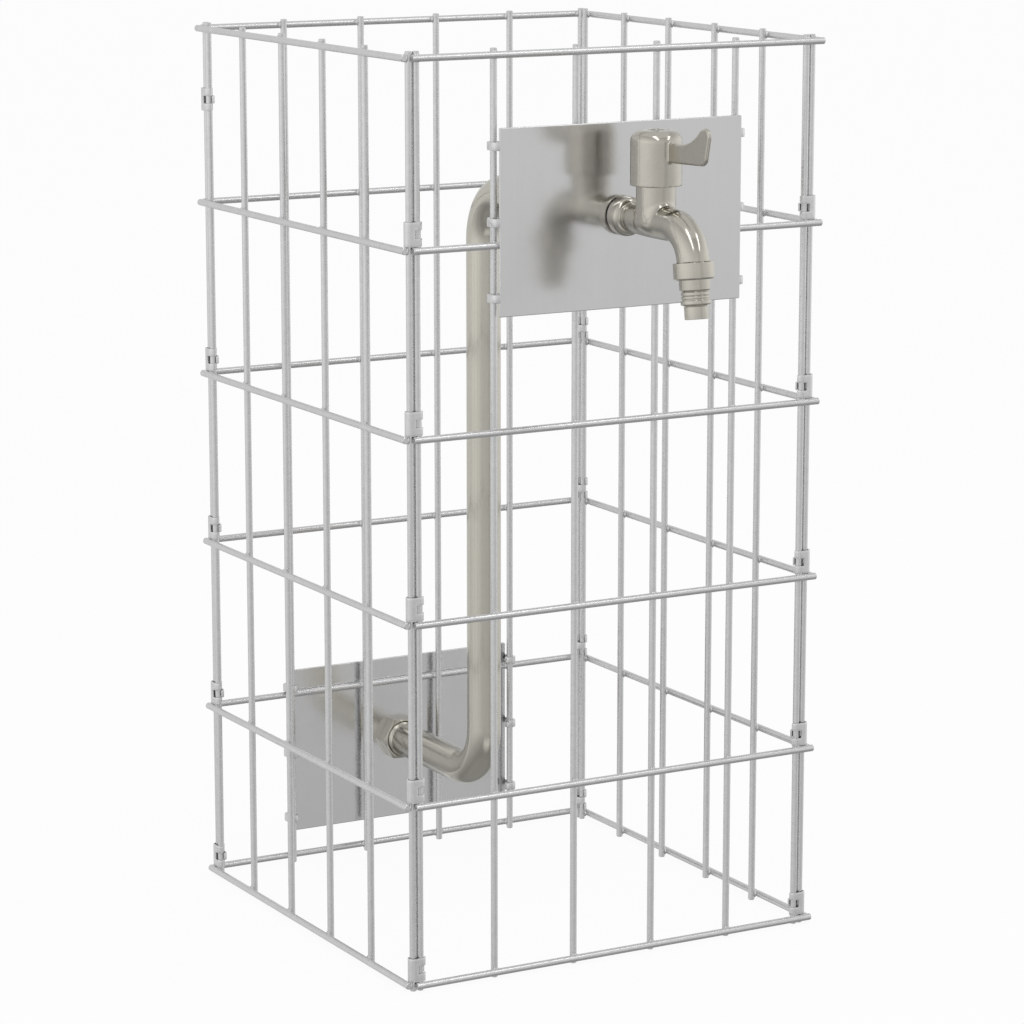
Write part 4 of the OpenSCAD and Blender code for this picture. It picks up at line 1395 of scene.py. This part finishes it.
class STANDPIPE_OT_stage(Operator):
    """Pale floor, white background, soft studio lights and the camera"""

    bl_idname = "standpipe.stage"
    bl_label = "Stage"

    def execute(self, context):
        scene = context.scene
        held = scene.standpipe_stage
        scene.view_settings.view_transform = "Standard"
        camera = bpy.data.cameras.new("Camera")
        camera.lens = held.lens
        camera.sensor_width = 36.0
        camera.clip_end = 100.0
        eye = bpy.data.objects.new("Camera", camera)
        eye.location = held.camera_place
        eye.rotation_euler = (math.pi / 2 - held.camera_pitch, 0, held.camera_turn)
        scene.collection.objects.link(eye)
        scene.camera = eye
        half = held.floor_w / 2
        mesh = bpy.data.meshes.new("floor")
        corners = [(-half, -half, 0), (half, -half, 0), (half, half, 0), (-half, half, 0)]
        mesh.from_pydata(corners, [], [(0, 1, 2, 3)])
        floor = bpy.data.objects.new("floor", mesh)
        scene.collection.objects.link(floor)
        mesh.materials.append(self.floor_finish())
        self.room(scene, held)
        for name, power, place, turn, size in LIGHTS:
            self.soft_light(name, getattr(held, power), place, turn, size)
        return {"FINISHED"}

    def soft_light(self, name, power, place, turn, size):
        """A rectangular soft light that faces down, turned by some degrees."""
        light = bpy.data.lights.new(name, "AREA")
        light.shape = "RECTANGLE"
        light.size, light.size_y = size
        light.energy = power
        obj = bpy.data.objects.new(name, light)
        obj.location = place
        obj.rotation_euler = (0, 0, math.radians(turn))
        bpy.context.scene.collection.objects.link(obj)

    def floor_finish(self):
        """White to the eye with a share of paint that takes the shadow; metal mirrors the room instead."""
        material = bpy.data.materials.new("Pale floor")
        material.use_nodes = True
        nodes = material.node_tree.nodes
        nodes.remove(nodes["Principled BSDF"])
        net = Net(material.node_tree)
        grain = net.span(net.noise(3.0, 3.0), 0.3, 0.7)
        tint = net.blend(grain, shade(WHITE, 0.8), shade(WHITE, 0.82))
        paint = net.node("ShaderNodeBsdfDiffuse", Color=tint)
        white = net.node("ShaderNodeEmission", Color=(*WHITE, 1), Strength=1.0)
        path = net.node("ShaderNodeLightPath").outputs
        seen = net.layered(net.math("MULTIPLY", path["Is Camera Ray"], 0.93), paint, white)
        mirrored = net.math("MAXIMUM", path["Is Glossy Ray"], path["Is Transmission Ray"])
        mix = net.layered(mirrored, seen, net.node("ShaderNodeBsdfTransparent"))
        net.feed(nodes["Material Output"].inputs["Surface"], mix.outputs[0])
        return material

    def mirrored_level(self, net, held):
        """Brightness of the room as metal mirrors it: bright side walls, a pale ceiling and a darker foot."""
        way = net.node("ShaderNodeTexCoord").outputs["Generated"]
        x, y, z = net.node("ShaderNodeSeparateXYZ", Vector=way).outputs

        def near(value, centre, inner, outer):
            """One close to a centre, falling to nothing away from it."""
            return net.span(net.math("ABSOLUTE", net.math("SUBTRACT", value, centre)), inner, outer, 1.0, 0.0)

        # Side walls, and a darker gap in the front wall
        left = net.math("POWER", net.math("MAXIMUM", net.math("MULTIPLY", x, -1.0), 0.0), 2.5)
        right = net.math("POWER", net.math("MAXIMUM", x, 0.0), 5.0)
        gap = net.math("MULTIPLY", near(x, 0.22, 0.0, 0.25), net.span(y, -0.5, -0.9))
        level = net.math("ADD", net.weighed(left, held.left_wall, right, held.right_wall), held.mirrored_room)
        level = net.math("SUBTRACT", level, net.math("MULTIPLY", gap, held.front_gap))

        # Tones from foot to ceiling
        ramp = net.node("ShaderNodeValToRGB", Fac=net.span(z, -1.0, 1.0))
        stops = ramp.color_ramp.elements
        stops.remove(stops[1])
        for i, (place, tone) in enumerate(ROOM_TONES):
            stop = stops.new((place + 1) / 2) if i else stops[0]
            stop.position = (place + 1) / 2
            stop.color = (tone, tone, tone, 1)
        tones = ramp.outputs[0]

        # White wall behind, which reaches less far round below the horizon
        back = net.math("SUBTRACT", y, net.span(z, -0.05, -0.3, 0.0, 0.2))
        behind = net.math("MULTIPLY", net.math("SUBTRACT", BACK_TONE, tones), net.span(back, 0.45, 0.64))
        level = net.math("MULTIPLY", level, net.math("ADD", tones, behind))

        # Lit floor in front
        glow = net.math("MULTIPLY", net.span(y, -0.6, -0.8), net.span(z, -0.4, -0.5))
        glow = net.math("MULTIPLY", glow, near(x, -0.1, 0.25, 0.45))
        return net.math("ADD", level, net.math("MULTIPLY", glow, held.floor_glow))

    def room(self, scene, held):
        """A pale room: white where it is seen, toned where metal mirrors it, even as light."""
        world = bpy.data.worlds.new("Pale room")
        scene.world = world
        world.use_nodes = True
        world.cycles.sampling_method = "NONE"
        world.node_tree.nodes.clear()
        net = Net(world.node_tree)

        def light(strength):
            return net.node("ShaderNodeBackground", Color=(*WHITE, 1), Strength=strength)

        path = net.node("ShaderNodeLightPath").outputs
        mirrored = net.math("MAXIMUM", path["Is Glossy Ray"], path["Is Transmission Ray"])
        seen = net.layered(path["Is Camera Ray"], light(held.room_light), light(1.0))
        mix = net.layered(mirrored, seen, light(self.mirrored_level(net, held)))
        net.feed(net.node("ShaderNodeOutputWorld").inputs["Surface"], mix.outputs[0])


class STANDPIPE_PT_panel(Panel):
    """Lists the pieces, sizes and colours"""

    bl_label = "Standpipe"
    bl_idname = "STANDPIPE_PT_panel"
    bl_space_type = "VIEW_3D"
    bl_region_type = "UI"
    bl_category = "Standpipe"

    def draw(self, context):
        layout = self.layout
        for operator in OPERATORS:
            layout.operator(operator.bl_idname)
        for name in GROUPS:
            held = getattr(context.scene, name)
            box = layout.box()
            for key in held.__class__.__annotations__:
                box.prop(held, key)


GROUPS = {
    "standpipe_basket": BasketSizes,
    "standpipe_pipe": PipeSizes,
    "standpipe_tap": TapSizes,
    "standpipe_colours": FinishColours,
    "standpipe_stage": StageSettings,
}
OPERATORS = (
    STANDPIPE_OT_mesh_panels,
    STANDPIPE_OT_corner_clips,
    STANDPIPE_OT_plates,
    STANDPIPE_OT_riser_pipe,
    STANDPIPE_OT_inlet_fittings,
    STANDPIPE_OT_tap_socket,
    STANDPIPE_OT_tap_body,
    STANDPIPE_OT_lever,
    STANDPIPE_OT_hose_end,
    STANDPIPE_OT_inner_parts,
    STANDPIPE_OT_stage,
)
CLASSES = (*GROUPS.values(), *OPERATORS, STANDPIPE_PT_panel)


def register():
    """Registers the classes and hangs the settings on the scene."""
    for made in CLASSES:
        bpy.utils.register_class(made)
    for name, group in GROUPS.items():
        setattr(bpy.types.Scene, name, PointerProperty(type=group))


def unregister():
    """Takes the settings and the classes away again."""
    for name in GROUPS:
        delattr(bpy.types.Scene, name)
    for made in reversed(CLASSES):
        bpy.utils.unregister_class(made)


def main():
    """Makes every piece in order."""
    register()
    bpy.ops.standpipe.mesh_panels()
    bpy.ops.standpipe.corner_clips()
    bpy.ops.standpipe.plates()
    bpy.ops.standpipe.riser_pipe()
    bpy.ops.standpipe.inlet_fittings()
    bpy.ops.standpipe.tap_socket()
    bpy.ops.standpipe.tap_body()
    bpy.ops.standpipe.lever()
    bpy.ops.standpipe.hose_end()
    bpy.ops.standpipe.inner_parts()
    bpy.ops.standpipe.stage()
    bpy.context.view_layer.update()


if __name__ == "__main__":
    main()
